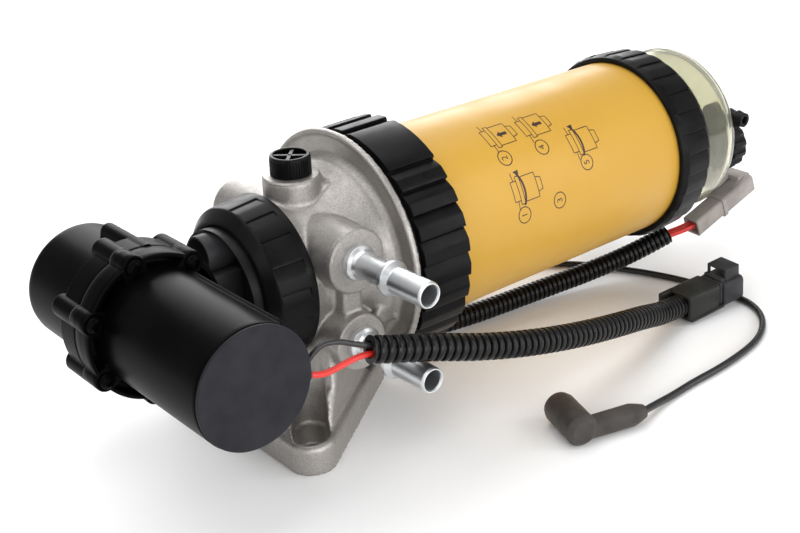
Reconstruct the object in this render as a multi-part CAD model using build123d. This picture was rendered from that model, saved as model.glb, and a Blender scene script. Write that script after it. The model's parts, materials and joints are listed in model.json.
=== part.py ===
from build123d import *
import os
from math import cos, degrees, pi, radians, sin, sqrt, tan

# Diesel fuel priming pump on a filter head, with a twist-lock water separator cartridge, a clear
# sediment bowl and a wiring harness. It lies on its mounting foot. X runs along the filter from the
# pump to the bowl, Y runs across it, and Z is up from the foot's flat face. Millimetres.
# The origin is on the flat face, midway between the foot's two bolt holes.

# Main places
AXIS_H = 85.0  # filter axis above the foot's flat face
FLANGE_X = 61.0  # front of the head's round flange, from the bolt line
PUMP_X = -57.5  # pump and motor axis, which runs along Y
CAN_R = 54.5  # outside of the cartridge's shell; the head and bowl follow it
SEAT = 0.3  # gap between a piece that turns and what carries it
FIT = 0.02  # radial clearance of a shaft in its bore

# Head casting
RIM_R = CAN_R + 12.0  # flange rim
RIM_T = 3.5
RIM_BAND = 4.0  # raised edge of the flange
DISH = 0.8  # how far the flange face is sunk inside the raised edge
SKIRT_R = CAN_R + 3.1  # threaded skirt inside the head ring
SKIRT_LEN = 19.0
SEAL_BORE_R = SKIRT_R - 6.0  # machined bore for the cartridge's seal
SEAL_BORE_DEPTH = 11.0
CAVITY_R = SEAL_BORE_R - 7.6
CORE_T = 28.0  # solid middle that holds the drilled passages
CORE_BACK = 12.0  # from the flange face back to the core
STAND_PIPE_R = 12.0
STAND_PIPE_BORE = 8.0
STAND_PIPE_LEN = 55.0
COLLAR_R = 38.9  # threaded collar inside the pump ring
COLLAR_LEN = 17.6
COLLAR_BORE = 30.0
COLLAR_DEPTH = 22.0
SADDLE_R = 39.0  # thinnest part of the dome, beside the pump ring
DOME_R = CAN_R - 4.0  # dome where it meets the flange

# Ports on the head
PORT_BACK = 26.0  # port and vent axes, behind the flange face
PORT_REACH = 52.0  # machined port face from the filter axis
UPPER_PORT_Z = 17.5
UPPER_PORT_R = 17.1
LOWER_PORT_Z = -28.0
LOWER_PORT_R = 15.5
REAR_BOSS_R = 17.0
REAR_BOSS_REACH = 55.0
PASSAGE_R = 5.0
PORT_DEPTH = 14.0
VENT_R = 15.2
VENT_TOP = 50.4  # vent boss above the filter axis
VENT_DEPTH = 18.0

# Mounting foot
HOLE_SPACING = 100.0
HOLE_R = 5.5
FOOT_CORNER_R = 13.5
FOOT_T = 17.0
FOOT_EDGE = 4.0  # rounding of the foot's top edge
FOOT_TAIL_X = 73.0
FOOT_TAIL_R = 12.0
BOLT_SEAT_T = 8.0  # metal under the bolt heads
POCKET_R = 9.5

# Hose nipples
NIPPLE_R = 6.8
NIPPLE_BORE = 5.2
NIPPLE_LEN = 55.0  # from the port face to the tip
NIPPLE_COLLAR_R = 9.3
NIPPLE_COLLAR_T = 4.6
NIPPLE_BEAD_R = 9.1
NIPPLE_BEAD_AT = 28.0
NIPPLE_PLUG_R = 8.0
NIPPLE_LIP = 1.2  # bevel at the tip

# Vent plug
PLUG_R = 10.8
PLUG_H = 10.6
PLUG_SHANK_R = 6.9
PLUG_SHANK_LEN = 14.0
PLUG_HOLLOW_R = 8.6
PLUG_HOLLOW = 5.5
PLUG_RIB = 1.8

# Head ring, which holds the cartridge on the head
HEAD_RING_R = SKIRT_R + 6.7
HEAD_RING_LEN = 34.7
HEAD_RING_PANELS = 28
HEAD_RING_STEP = 2.0
RING_LIP_LEN = 3.8  # smooth band beside the panels
RING_LIP_DROP = 1.2

# Cartridge
CAN_WALL = 1.0
CAN_LEN = 192.4
TOP_FLANGE_T = 7.2
CAN_FLANGE_R = CAN_R + 2.8
PLUG_IN_DEPTH = 9.0
SEAL_SIZE = 3.6  # section of the square seals
END_SPIGOT = 6.0
END_PLATE_T = 3.6
GROMMET_R = 17.2
TUBE_R = 15.9
TUBE_WALL = 1.2
MEDIA_R = CAN_R - 7.5
PLEATS = 36
PLEAT_DEPTH = 25.0
PLEAT_THICK = 4.4
CAP_R = MEDIA_R + 2.0
CAP_T = 2.4
WATER_GAP = 8.0  # room under the element for the water to leave
COLLAR_FLANGE_R = CAN_R + 1.8
INLET_CIRCLE_R = CAN_R - 21.5
WATER_CIRCLE_R = CAN_R - 16.5
COLLAR_FLANGE_T = 10.4

# Bowl ring and bowl
BOWL_RING_R = COLLAR_FLANGE_R + 3.9
BOWL_RING_LEN = 29.2
BOWL_RING_PANELS = 26
BOWL_RING_STEP = 1.3
BOWL_R = CAN_R - 1.5
BOWL_WALL = 2.6
BOWL_LEN = 40.0
BOWL_CORNER_R = 12.0
BOWL_FLANGE_T = 5.0
BOWL_SEAL_T = 3.0

# Drain and water sensor on the end of the bowl
DRAIN_Y = -24.0
DRAIN_Z = -12.0
DRAIN_BODY_R = 10.0
DRAIN_BODY_T = 10.6
DRAIN_STEM_R = 4.0
DRAIN_STEM_IN = 14.0
SPOUT_RISE = 25.0
SPOUT_R = 4.5
SPOUT_BORE = 2.6
SPOUT_TIP_Y = -50.0
KNOB_R = 17.0
KNOB_T = 13.0
KNOB_FLUTES = 14
KNOB_FLUTE_R = 2.6
SENSOR_Y = -8.0
SENSOR_Z = -33.5
SENSOR_R = 8.5
SENSOR_LEN = 14.0
SENSOR_HEX = 19.0
PROBE_R = 1.2
PROBE_LEN = 15.0
SOCKET_W = 13.0  # sensor's connector, square
SOCKET_LEN = 24.0
SENSOR_PLUG_W = 12.4
SENSOR_PLUG_LEN = 27.0
SENSOR_PAIR_RUN = (-46.0, 3.0, -17.0)  # connector pair, from the socket's back to the leads

# Pump ring and the pump's moulded base
PUMP_RING_R = 43.9
PUMP_RING_FRONT_R = 41.6
PUMP_RING_LEN = 26.3
PUMP_RING_PANELS = 24
PUMP_RING_STEP = 0.5
PUMP_RING_CHAMFER = 3.5
PUMP_RING_LIP_R = 33.5
PUMP_RING_LIP_T = 4.4
BASE_FLANGE_T = 4.0
BASE_FLANGE_R = 38.2
BASE_SPIGOT_LEN = 12.0
CUP_R = 31.0
CUP_WALL = 2.3
CUP_DEPTH = 10.6
BASE_WEB_T = 6.0
NECK_W = 17.0
NECK_H = 28.0
NECK_Y = 8.5  # middle of the neck across the filter axis
DUCT_R = 3.6
DUCT_Y = 6.0
DUCT_Z = 7.0
DELIVERY_TUBE_R = 6.3

# Pump and motor, on an axis along Y
PUMP_R = 31.3
PUMP_END = 63.0
PUMP_WALL = 3.0
FLANGE_R = 37.5
PUMP_FLANGE_T = 16.0
GASKET_T = 0.8
CHAMBER_R = 22.0
CHAMBER_T = 7.2
PUMP_EYE_R = 9.0  # opening from the chamber to the hollow rear barrel
LUG_ANGLES = (49.7, 103.8, 158.7, 210.1, 261.0, 312.0)  # none at the neck
LUG_CIRCLE_R = 35.2
LUG_R = 6.0
SCREW_R = 2.4
SCREW_HEAD_R = 4.3
SCREW_HEAD_T = 3.4
SCREW_LEN = 30.0
COLUMN_LEN = 4.0
TOP_BOSS_ANGLE = 80.0  # long boss on the rear barrel
TOP_BOSS_R = 4.5
TOP_BOSS_END = 40.0
MOTOR_R = 30.5
MOTOR_WALL = 3.0
MOTOR_FLANGE_T = 12.0
MOTOR_END = -94.0
CAP_DISC_T = 2.0
CAP_DISC_R = 30.2
CAP_SPIGOT = 4.0
FLANGE_POCKET = 7.0
BULKHEAD_T = 9.0
SHAFT_R = 3.0
BEARING_R = 8.0
BEARING_T = 5.0
CAN_MOTOR_WALL = 1.4
MAGNET_T = 3.1
MAGNET_LEN = 46.0
MAGNET_ARC = 130.0
ARMATURE_R = 21.6
ARMATURE_LEN = 34.0
ARMATURE_SLOTS = 10
COMMUTATOR_R = 9.0
COMMUTATOR_LEN = 10.0
BRUSH_W = 5.0
BRUSH_LEN = 11.0
IMPELLER_T = 5.6
IMPELLER_VANES = 20
SEAL_T = 4.0
GROMMET_Y = -85.0
GROMMET_Z = -7.7
LEAD_GROMMET_R = 4.3

# Harness
WIRE_R = 1.3
WIRE_SPREAD = 1.9  # each lead's offset from the middle of its conduit
MOTOR_CONDUIT_R = 7.0
SENSOR_CONDUIT_R = 6.4
CONDUIT_WALL = 1.2
BOOT_LEAD_R = 2.0
BOOT_R = 6.2
BOOT_LEN = 40.5
BOOT_SOCKET_R = 9.0
BOOT_SOCKET_LEN = 30.0
BOOT_SOCKET_BORE = 5.0
CONNECTOR_YAW = -5.0
CONNECTOR_PITCH = 4.0  # its far end lies on the boot lead
CONNECTOR_W = 19.0
CONNECTOR_H = 17.0
CONNECTOR_BODY = 23.0
CONNECTOR_GASKET = 4.0
CONNECTOR_SHELL = 16.5
LATCH_W = 16.4
LATCH_H = 5.4
LATCH_WALL = 1.2
SPLICE_W = 26.0
SPLICE_H = 15.0
SPLICE_LEN = 26.0

MOTOR_CONDUIT_ROUTE = [
    (8, -93.4, AXIS_H - 5.8), (22, -97.2, AXIS_H - 9.2), (40, -101.4, AXIS_H - 13.4),
    (63, -104.8, AXIS_H - 21), (90, -107, 56.2),
    (119, -106.5, 48.3), (149, -103.3, 40.2), (180, -98, 32), (208, -91.3, 24),
    (233, -84, 14.6), (256.5, -79, 10.5)]
RED_LEAD_START = [
    (-23.5, -85, AXIS_H - 10), (-17.5, -87.5, AXIS_H - 12.6), (-8, -90, AXIS_H - 10.4),
    (0, -91.6, AXIS_H - 8.2)]
BLACK_LEAD_START = [
    (-23.5, -85, AXIS_H - 5.4), (-17.5, -87, AXIS_H + 3.4), (-8, -89.4, AXIS_H + 3.2),
    (0, -91.4, AXIS_H - 0.6)]
SENSOR_CONDUIT_ROUTE = [
    (138, 9.5, 7.4), (160, 6, 6.9), (186, 3.6, 6.8), (216, 0.6, 7.2), (247, -4.6, 8.6),
    (278.5, -10.6, 12), (300, -15.4, 16.4), (312.5, -20.5, 21.6)]
BOOT_LEAD_ROUTE = [
    (138, 21, 7), (150, 23.5, 4), (172, 30, 2.1), (200, 38, 2.1), (226, 42, 2.1), (248, 38.5, 2.1),
    (262, 26, 2.1), (274, 11, 2.1), (283, -6.6, 2.1), (291, -25, 2.1), (297.5, -44, 2.1),
    (300.5, -63, 2.1), (303, -83, 2.1), (300.5, -99, 2.1), (292.5, -111.5, 2.1), (280.5, -121.5, 2.1),
    (265, -128.8, 2.1), (246, -132.6, 2.1), (222, -134.8, 2.1), (200, -134.6, 2.1), (180, -136, 2.1),
    (166, -137.6, 3.8), (151, -140.6, 6.4)]

# Worked out from the sizes above
PORT_X = FLANGE_X - PORT_BACK
RIM_BACK = FLANGE_X + RIM_T
SKIRT_END = RIM_BACK + SKIRT_LEN
CORE_END = FLANGE_X - CORE_BACK
CORE_START = CORE_END - CORE_T
COLLAR_END = CORE_START - COLLAR_DEPTH
COLLAR_BACK = COLLAR_END + COLLAR_LEN
HEAD_RING_X = RIM_BACK + 2 * SEAT
HEAD_RING_END = HEAD_RING_X + HEAD_RING_LEN
TOP_FLANGE_X = SKIRT_END + SEAT
CAN_X = TOP_FLANGE_X + TOP_FLANGE_T
CAN_END = CAN_X + CAN_LEN
COLLAR_FLANGE_END = CAN_END + COLLAR_FLANGE_T
BOWL_FLANGE_X = COLLAR_FLANGE_END + BOWL_SEAL_T
BOWL_FLANGE_END = BOWL_FLANGE_X + BOWL_FLANGE_T
BOWL_END = BOWL_FLANGE_END + BOWL_LEN
PAIR_X = BOWL_END + 30.2
PAIR_Y = SENSOR_Y - 26.5
PAIR_Z = AXIS_H + SENSOR_Z - 6.9
SENSOR_PAIR_START = (PAIR_X, PAIR_Y, PAIR_Z)
SENSOR_PAIR_END = (PAIR_X + SENSOR_PAIR_RUN[0], PAIR_Y + SENSOR_PAIR_RUN[1], PAIR_Z + SENSOR_PAIR_RUN[2])
SENSOR_LEAD_END = [
    (PAIR_X - 50, PAIR_Y + 7, PAIR_Z - 19.4), (PAIR_X - 41.6, PAIR_Y + 2.8, PAIR_Z - 15.4)]
BOWL_RING_X = BOWL_FLANGE_END + SEAT + 6 - BOWL_RING_LEN
RING_CLEAR = 0.5  # ring over a can or bowl wall
BASE_FLANGE_X = COLLAR_END - BASE_FLANGE_T
PUMP_RING_X = BASE_FLANGE_X - SEAT - PUMP_RING_LIP_T
CUP_FRONT = BASE_FLANGE_X - CUP_DEPTH
NECK_X = PUMP_X + FLANGE_R + 0.3
MOTOR_BORE = MOTOR_R - MOTOR_WALL
MOTOR_CAN_R = MOTOR_BORE - SEAT
MAGNET_R = MOTOR_CAN_R - CAN_MOTOR_WALL - 0.1
CHAMBER_END = GASKET_T + CHAMBER_T
REAR_BEARING_Y = -BULKHEAD_T - BEARING_T
FRONT_BEARING_Y = MOTOR_END + 1
MOTOR_CAN_Y = FRONT_BEARING_Y + BEARING_T
ARMATURE_Y = -76.0 + 1.5

os.makedirs("parts", exist_ok=True)


def save(name, shape):
    """Write one piece under its own name."""
    export_step(shape, f"parts/{name}.step")


def turned_x(outline):
    """Turn a closed outline of (x, radius) points about the filter axis."""
    face = make_face(Polyline(*outline, close=True))
    return Pos(0, 0, AXIS_H) * revolve(face, Axis.X, 360)


def turned_y(outline):
    """Turn a closed outline of (radius, y) points about the pump axis."""
    face = make_face(Polyline(*outline, close=True))
    return Pos(PUMP_X, 0, AXIS_H) * revolve(face, Axis.Y, 360)


def rod(start, direction, length, radius):
    """Cylinder from a point along a direction."""
    across = Vector(*direction).cross(Vector(0.3, 0.5, 0.81)).normalized()
    return extrude(Plane(origin=start, x_dir=across, z_dir=direction) * Circle(radius), length)


def rod_x(x0, x1, radius, y=0.0, z=0.0):
    """Cylinder along X, placed from the filter axis."""
    return rod((x0, y, AXIS_H + z), (1, 0, 0), x1 - x0, radius)


def rod_y(y0, y1, radius, x=0.0, z=0.0):
    """Cylinder along Y, placed from the pump axis."""
    return rod((PUMP_X + x, y0, AXIS_H + z), (0, 1, 0), y1 - y0, radius)


def ring_x(x0, x1, r_out, r_in):
    """Plain ring about the filter axis."""
    return turned_x([(x0, r_in), (x0, r_out), (x1, r_out), (x1, r_in)])


def ring_y(y0, y1, r_out, r_in):
    """Plain ring about the pump axis."""
    return turned_y([(r_in, y0), (r_out, y0), (r_out, y1), (r_in, y1)])


def block(x0, x1, y0, y1, z0, z1):
    """Box between two corners."""
    return Pos((x0 + x1) / 2, (y0 + y1) / 2, (z0 + z1) / 2) * Box(x1 - x0, y1 - y0, z1 - z0)


def panelled_prism(x0, length, crest_r, step, panels, end_r=None):
    """Body of a grip ring: each panel leans outward by one step and then drops back."""

    def outline(x, crest):
        points = []
        for k in range(panels):
            low = 2 * pi * k / panels
            high = 2 * pi * (k + 1) / panels
            points.append(((crest - step) * cos(low), (crest - step) * sin(low)))
            points.append((crest * cos(high), crest * sin(high)))
        return Plane(origin=(x, 0, AXIS_H), z_dir=(1, 0, 0)) * make_face(Polyline(*points, close=True))

    if end_r is None:
        return extrude(outline(x0, crest_r), length)
    return loft([outline(x0, crest_r), outline(x0 + length, end_r)], ruled=True)


def around(radius, count, first=0.0):
    """Places on a circle, as (across, up, angle in degrees)."""
    places = []
    for k in range(count):
        angle = first + 2 * pi * k / count
        places.append((radius * cos(angle), radius * sin(angle), degrees(angle)))
    return places


def foot():
    """Triangular foot with two bolt seats sunk in its corners, and the trunk that rises to the head."""
    half = HOLE_SPACING / 2

    def outline(inset):
        rounds = Pos(0, half) * Circle(FOOT_CORNER_R - inset)
        rounds += Pos(0, -half) * Circle(FOOT_CORNER_R - inset)
        rounds += Pos(FOOT_TAIL_X, 0) * Circle(FOOT_TAIL_R - inset)
        return make_hull(rounds.edges())

    plate = extrude(outline(0), FOOT_T)
    plate = fillet(plate.edges().group_by(Axis.Z)[-1], FOOT_EDGE)
    top = AXIS_H + LOWER_PORT_Z
    side_view = Plane.XZ * make_face(Polyline(
        (-FOOT_CORNER_R, 5), (FLANGE_X + 1, 5), (FLANGE_X + 1, AXIS_H - DOME_R),
        (FLANGE_X - 8, top), (PORT_X - 15, top), (PORT_X - 18, AXIS_H - PUMP_RING_R - 6),
        (-FOOT_CORNER_R + 4, FOOT_T + 2), close=True))
    end_view = Plane.YZ * make_face(Polyline(
        (-half - 9, 5), (half + 9, 5), (half - 4, FOOT_T + 10), (half - 22, top),
        (8 - half, top), (2 - half, FOOT_T + 16), close=True))
    trunk = extrude(side_view, 2 * half, both=True)
    trunk &= extrude(end_view, 3 * FLANGE_X, both=True)
    trunk &= extrude(outline(FOOT_EDGE), top)
    body = plate + trunk
    for side in (-1, 1):
        scoop = Pos(0, side * half) * Circle(POCKET_R) + Pos(9, side * (half - 13)) * Circle(POCKET_R)
        body -= Pos(0, 0, BOLT_SEAT_T) * extrude(make_hull(scoop.edges()), top)
        body -= rod((0, side * half, 0), (0, 0, 1), BOLT_SEAT_T, HOLE_R)
    return body


def port_boss(reach, radius, z, side):
    """Round boss with a bevelled machined face, pointing to one side of the head."""
    boss = rod((PORT_X, side * reach, AXIS_H + z), (0, -side, 0), reach, radius)
    return chamfer(boss.edges().sort_by(Axis.Y)[0 if side < 0 else -1], 0.8)


def filter_head():
    """Cast head: dome, flange, skirt, pump collar, port bosses, foot and drilled passages."""
    dome = turned_x([
        (COLLAR_END, COLLAR_BORE), (COLLAR_END, COLLAR_R - 1), (COLLAR_END + 1, COLLAR_R),
        (COLLAR_BACK, COLLAR_R), (COLLAR_BACK, SADDLE_R + 1.5), (COLLAR_BACK + 7, SADDLE_R),
        (PORT_X + 2, SADDLE_R + 1.5), (PORT_X + 12, SADDLE_R + 5), (FLANGE_X - 7, DOME_R - 2),
        (FLANGE_X - 4, DOME_R),
        (FLANGE_X + DISH, DOME_R + 1.5), (FLANGE_X + DISH, RIM_R - RIM_BAND),
        (FLANGE_X, RIM_R - RIM_BAND + DISH), (FLANGE_X, RIM_R - 0.6), (FLANGE_X + 0.6, RIM_R),
        (RIM_BACK, RIM_R), (RIM_BACK, SKIRT_R), (SKIRT_END, SKIRT_R), (SKIRT_END, SEAL_BORE_R),
        (SKIRT_END - SEAL_BORE_DEPTH, SEAL_BORE_R), (SKIRT_END - SEAL_BORE_DEPTH, CAVITY_R),
        (CORE_END, CAVITY_R), (CORE_END, STAND_PIPE_R), (CORE_END + STAND_PIPE_LEN, STAND_PIPE_R),
        (CORE_END + STAND_PIPE_LEN, STAND_PIPE_BORE), (CORE_END - 9, STAND_PIPE_BORE),
        (CORE_END - 9, 0), (CORE_START, 0), (CORE_START, COLLAR_BORE)])
    body = dome + foot()
    keep_out = ring_x(COLLAR_END - 20, COLLAR_BACK, PUMP_RING_R + 2, COLLAR_R + 0.001)
    bosses = port_boss(PORT_REACH, UPPER_PORT_R, UPPER_PORT_Z, -1)
    bosses += port_boss(PORT_REACH, LOWER_PORT_R, LOWER_PORT_Z, -1)
    bosses += port_boss(REAR_BOSS_REACH, REAR_BOSS_R, UPPER_PORT_Z, 1)
    web_z = AXIS_H + LOWER_PORT_Z
    bosses += block(PORT_X - 6, PORT_X + 6, -PORT_REACH + 5, 0, web_z, AXIS_H + UPPER_PORT_Z)
    vent = rod((PORT_X, 0, AXIS_H + VENT_TOP), (0, 0, -1), VENT_TOP, VENT_R)
    bosses += chamfer(vent.edges().sort_by(Axis.Z)[-1], 0.8)
    fairing_top = AXIS_H + VENT_TOP - 4.5
    bosses += block(PORT_X, FLANGE_X + 1, -VENT_R + 2.5, VENT_R - 2.5, AXIS_H, fairing_top)
    bosses -= rod_x(COLLAR_END, CORE_START, COLLAR_BORE)
    bosses -= rod_x(CORE_END, RIM_BACK, CAVITY_R)
    body += bosses - keep_out
    for passage in head_passages():
        body -= passage
    return body


def head_passages():
    """Ports, vent and the drilled ways between pump, cartridge and nipples."""
    cuts = []
    for z in (UPPER_PORT_Z, LOWER_PORT_Z):
        cuts.append(rod((PORT_X, -PORT_REACH, AXIS_H + z), (0, 1, 0), PORT_DEPTH, NIPPLE_PLUG_R + FIT))
        cuts.append(rod((PORT_X, -PORT_REACH, AXIS_H + z), (0, 1, 0), PORT_REACH + 4, PASSAGE_R))
    cuts.append(rod((PORT_X, -14, AXIS_H + UPPER_PORT_Z), (-1, 0, 0), PORT_X - CORE_START, PASSAGE_R))
    cuts.append(rod((PORT_X, 0, AXIS_H + LOWER_PORT_Z), (11, 0, -LOWER_PORT_Z), 29, PASSAGE_R))
    cuts.append(rod_x(CORE_START, CORE_START + 8, DELIVERY_TUBE_R + 0.1, DUCT_Y, DUCT_Z))
    start = (CORE_START + 5, DUCT_Y, AXIS_H + DUCT_Z)
    cuts.append(rod(start, (CORE_T - 5, 18, 9), CORE_T + 10, PASSAGE_R))
    top = (PORT_X, 0, AXIS_H + VENT_TOP)
    cuts.append(rod(top, (0, 0, -1), VENT_DEPTH, PLUG_SHANK_R + 0.1))
    cuts.append(rod(top, (0, 0, -1), VENT_TOP - UPPER_PORT_Z, 2.0))
    return cuts


def head_lock_ring():
    """Ring with leaning grip panels. Its inner shoulder pulls the cartridge onto the head."""
    body = panelled_prism(HEAD_RING_X + RING_LIP_LEN, HEAD_RING_LEN - 2 * RING_LIP_LEN,
                          HEAD_RING_R, HEAD_RING_STEP, HEAD_RING_PANELS)
    lip_r = HEAD_RING_R - RING_LIP_DROP
    body += ring_x(HEAD_RING_X, HEAD_RING_X + RING_LIP_LEN, lip_r, SKIRT_R)
    back = HEAD_RING_END - RING_LIP_LEN
    body += turned_x([(back, CAN_R), (back, HEAD_RING_R - HEAD_RING_STEP),
                      (HEAD_RING_END, HEAD_RING_R - HEAD_RING_STEP - 1.5), (HEAD_RING_END, CAN_R)])
    body -= rod_x(HEAD_RING_X - 1, CAN_X + SEAT, SKIRT_R + SEAT)
    return body - rod_x(CAN_X, HEAD_RING_END + 1, CAN_R + RING_CLEAR)


def cartridge_top_plate():
    """End plate that plugs into the head, with a seal groove and a ring of inlet holes."""
    x0 = TOP_FLANGE_X - PLUG_IN_DEPTH
    groove = TOP_FLANGE_X - 6
    plug_r = SEAL_BORE_R - SEAT
    can_bore = CAN_R - CAN_WALL - 0.05
    plate = turned_x([
        (x0, plug_r - 4), (x0, plug_r), (groove, plug_r), (groove, plug_r - SEAL_SIZE + 0.8),
        (groove + SEAL_SIZE, plug_r - SEAL_SIZE + 0.8), (groove + SEAL_SIZE, plug_r),
        (TOP_FLANGE_X, plug_r), (TOP_FLANGE_X, CAN_FLANGE_R), (CAN_X, CAN_FLANGE_R),
        (CAN_X, can_bore), (CAN_X + END_SPIGOT, can_bore), (CAN_X + END_SPIGOT, can_bore - 3),
        (CAN_X, can_bore - 3), (CAN_X, GROMMET_R), (CAN_X - END_PLATE_T, GROMMET_R),
        (CAN_X - END_PLATE_T, plug_r - 4)])
    for y, z, _ in around(INLET_CIRCLE_R, 6):
        plate -= rod_x(CAN_X - END_PLATE_T - 1, CAN_X + 1, 5.0, y, z)
    return plate


def head_seal_ring():
    """Square seal between the cartridge's plug and the head's bore."""
    groove = TOP_FLANGE_X - 6
    outer = SEAL_BORE_R - 0.05
    inner = SEAL_BORE_R - SEAT - SEAL_SIZE + 0.85
    return ring_x(groove + 0.1, groove + SEAL_SIZE - 0.1, outer, inner)


def cartridge_grommet():
    """Rubber lip seal on the head's stand pipe."""
    return ring_x(CAN_X - END_PLATE_T, CAN_X, GROMMET_R - FIT, STAND_PIPE_R + FIT)


def cartridge_can():
    """Thin painted steel shell."""
    return ring_x(CAN_X, CAN_END, CAN_R, CAN_R - CAN_WALL)


def centre_tube():
    """Perforated tube inside the pleats."""
    tube = ring_x(CAN_X, MEDIA_END + CAP_T, TUBE_R, TUBE_R - TUBE_WALL)
    for row in range(6):
        x = CAN_X + 25 + 28 * row
        for angle in (0, 60, 120):
            across = (0, cos(radians(angle)), sin(radians(angle)))
            start = (x, -20 * across[1], AXIS_H - 20 * across[2])
            tube -= rod(start, across, 40, 3.0)
    return tube


def pleated_media():
    """Filter paper: one closed zigzag band."""

    def zigzag(outer, inner):
        points = []
        for k in range(PLEATS):
            crest = 2 * pi * k / PLEATS
            root = 2 * pi * (k + 0.5) / PLEATS
            points.append((outer * cos(crest), outer * sin(crest)))
            points.append((inner * cos(root), inner * sin(root)))
        return make_face(Polyline(*points, close=True))

    inner = MEDIA_R - PLEAT_DEPTH
    band = zigzag(MEDIA_R, inner) - zigzag(MEDIA_R - PLEAT_THICK, inner - PLEAT_THICK)
    plane = Plane(origin=(MEDIA_X, 0, AXIS_H), z_dir=(1, 0, 0))
    return extrude(plane * band, MEDIA_END - MEDIA_X)


def cartridge_bottom_collar():
    """Threaded end collar with water holes, which carries the bowl ring."""
    can_bore = CAN_R - CAN_WALL - 0.05
    collar = turned_x([
        (CAN_END - END_SPIGOT, can_bore - 3), (CAN_END - END_SPIGOT, can_bore), (CAN_END, can_bore),
        (CAN_END, COLLAR_FLANGE_R), (COLLAR_FLANGE_END, COLLAR_FLANGE_R),
        (COLLAR_FLANGE_END, can_bore - 5), (CAN_END + END_PLATE_T, can_bore - 5),
        (CAN_END + END_PLATE_T, 0), (CAN_END, 0), (CAN_END, can_bore - 3)])
    for y, z, _ in around(WATER_CIRCLE_R, 8):
        collar -= rod_x(CAN_END - 1, CAN_END + END_PLATE_T + 1, 5.0, y, z)
    return collar


def bowl_lock_ring():
    """Grip ring that clamps the bowl's flange to the cartridge collar."""
    body = panelled_prism(BOWL_RING_X + RING_LIP_LEN, BOWL_RING_LEN - RING_LIP_LEN,
                          BOWL_RING_R, BOWL_RING_STEP, BOWL_RING_PANELS)
    lip_r = BOWL_RING_R - 3.0
    body += ring_x(BOWL_RING_X, BOWL_RING_X + RING_LIP_LEN, lip_r, CAN_R)
    far = BOWL_RING_X + BOWL_RING_LEN
    bevel = turned_x([(far + 0.1, BOWL_RING_R - 5.4), (far + 0.1, BOWL_RING_R + 1),
                      (far - 5.4, BOWL_RING_R + 1), (far - 5.4, BOWL_RING_R)])
    body -= bevel
    body -= rod_x(BOWL_RING_X - 1, BOWL_FLANGE_END + SEAT, COLLAR_FLANGE_R + SEAT)
    return body - rod_x(BOWL_FLANGE_END, far + 1, BOWL_R + RING_CLEAR)


def sediment_bowl():
    """Clear bowl: flange, straight wall, rounded corner and flat end."""
    corner_x = BOWL_END - BOWL_CORNER_R
    corner_r = BOWL_R - BOWL_CORNER_R
    thin = BOWL_CORNER_R - BOWL_WALL
    mid = sqrt(0.5)
    outer = [
        Line((BOWL_FLANGE_X, BOWL_R - BOWL_WALL), (BOWL_FLANGE_X, COLLAR_FLANGE_R)),
        Line((BOWL_FLANGE_X, COLLAR_FLANGE_R), (BOWL_FLANGE_END, COLLAR_FLANGE_R)),
        Line((BOWL_FLANGE_END, COLLAR_FLANGE_R), (BOWL_FLANGE_END, BOWL_R)),
        Line((BOWL_FLANGE_END, BOWL_R), (corner_x, BOWL_R)),
        ThreePointArc((corner_x, BOWL_R),
                      (corner_x + BOWL_CORNER_R * mid, corner_r + BOWL_CORNER_R * mid),
                      (BOWL_END, corner_r)),
        Line((BOWL_END, corner_r), (BOWL_END, 0)),
        Line((BOWL_END, 0), (BOWL_END - BOWL_WALL, 0)),
        Line((BOWL_END - BOWL_WALL, 0), (BOWL_END - BOWL_WALL, corner_r)),
        ThreePointArc((BOWL_END - BOWL_WALL, corner_r),
                      (corner_x + thin * mid, corner_r + thin * mid),
                      (corner_x, BOWL_R - BOWL_WALL)),
        Line((corner_x, BOWL_R - BOWL_WALL), (BOWL_FLANGE_X, BOWL_R - BOWL_WALL))]
    bowl = Pos(0, 0, AXIS_H) * revolve(make_face(outer), Axis.X, 360)
    bowl -= rod_x(BOWL_END - 5, BOWL_END + 1, DRAIN_STEM_R + 2, DRAIN_Y, DRAIN_Z)
    return bowl - rod_x(BOWL_END - 5, BOWL_END + 1, SENSOR_R - 2, SENSOR_Y, SENSOR_Z)


def drain_valve_body():
    """Valve body on the bowl's end, with a stem inside the bowl and a side spout."""
    rounds = Pos(DRAIN_Y, DRAIN_Z) * Circle(DRAIN_BODY_R)
    rounds += Pos(DRAIN_Y - 3, DRAIN_Z + SPOUT_RISE) * Circle(DRAIN_BODY_R - 3.5)
    plane = Plane(origin=(BOWL_END, 0, AXIS_H), x_dir=(0, 1, 0), z_dir=(1, 0, 0))
    body = extrude(plane * make_hull(rounds.edges()), DRAIN_BODY_T)
    body += rod_x(BOWL_END - DRAIN_STEM_IN, BOWL_END + 1, DRAIN_STEM_R + 1.9, DRAIN_Y, DRAIN_Z)
    x = BOWL_END + DRAIN_BODY_T - SPOUT_R - 0.4
    z = AXIS_H + DRAIN_Z + SPOUT_RISE
    body += rod((x, DRAIN_Y, z), (0, -1, 0), DRAIN_Y - SPOUT_TIP_Y, SPOUT_R)
    for back in (1.5, 8.0):
        barb = Cone(SPOUT_R + 0.9, SPOUT_R, 4)
        body += Pos(x, SPOUT_TIP_Y + back + 2, z) * Rot(90, 0, 0) * barb
    body -= rod((x, SPOUT_TIP_Y - 1, z), (0, 1, 0), 20, SPOUT_BORE)
    return body - rod_x(BOWL_END - DRAIN_STEM_IN - 1, BOWL_END + 20, DRAIN_STEM_R + FIT, DRAIN_Y, DRAIN_Z)


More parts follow.
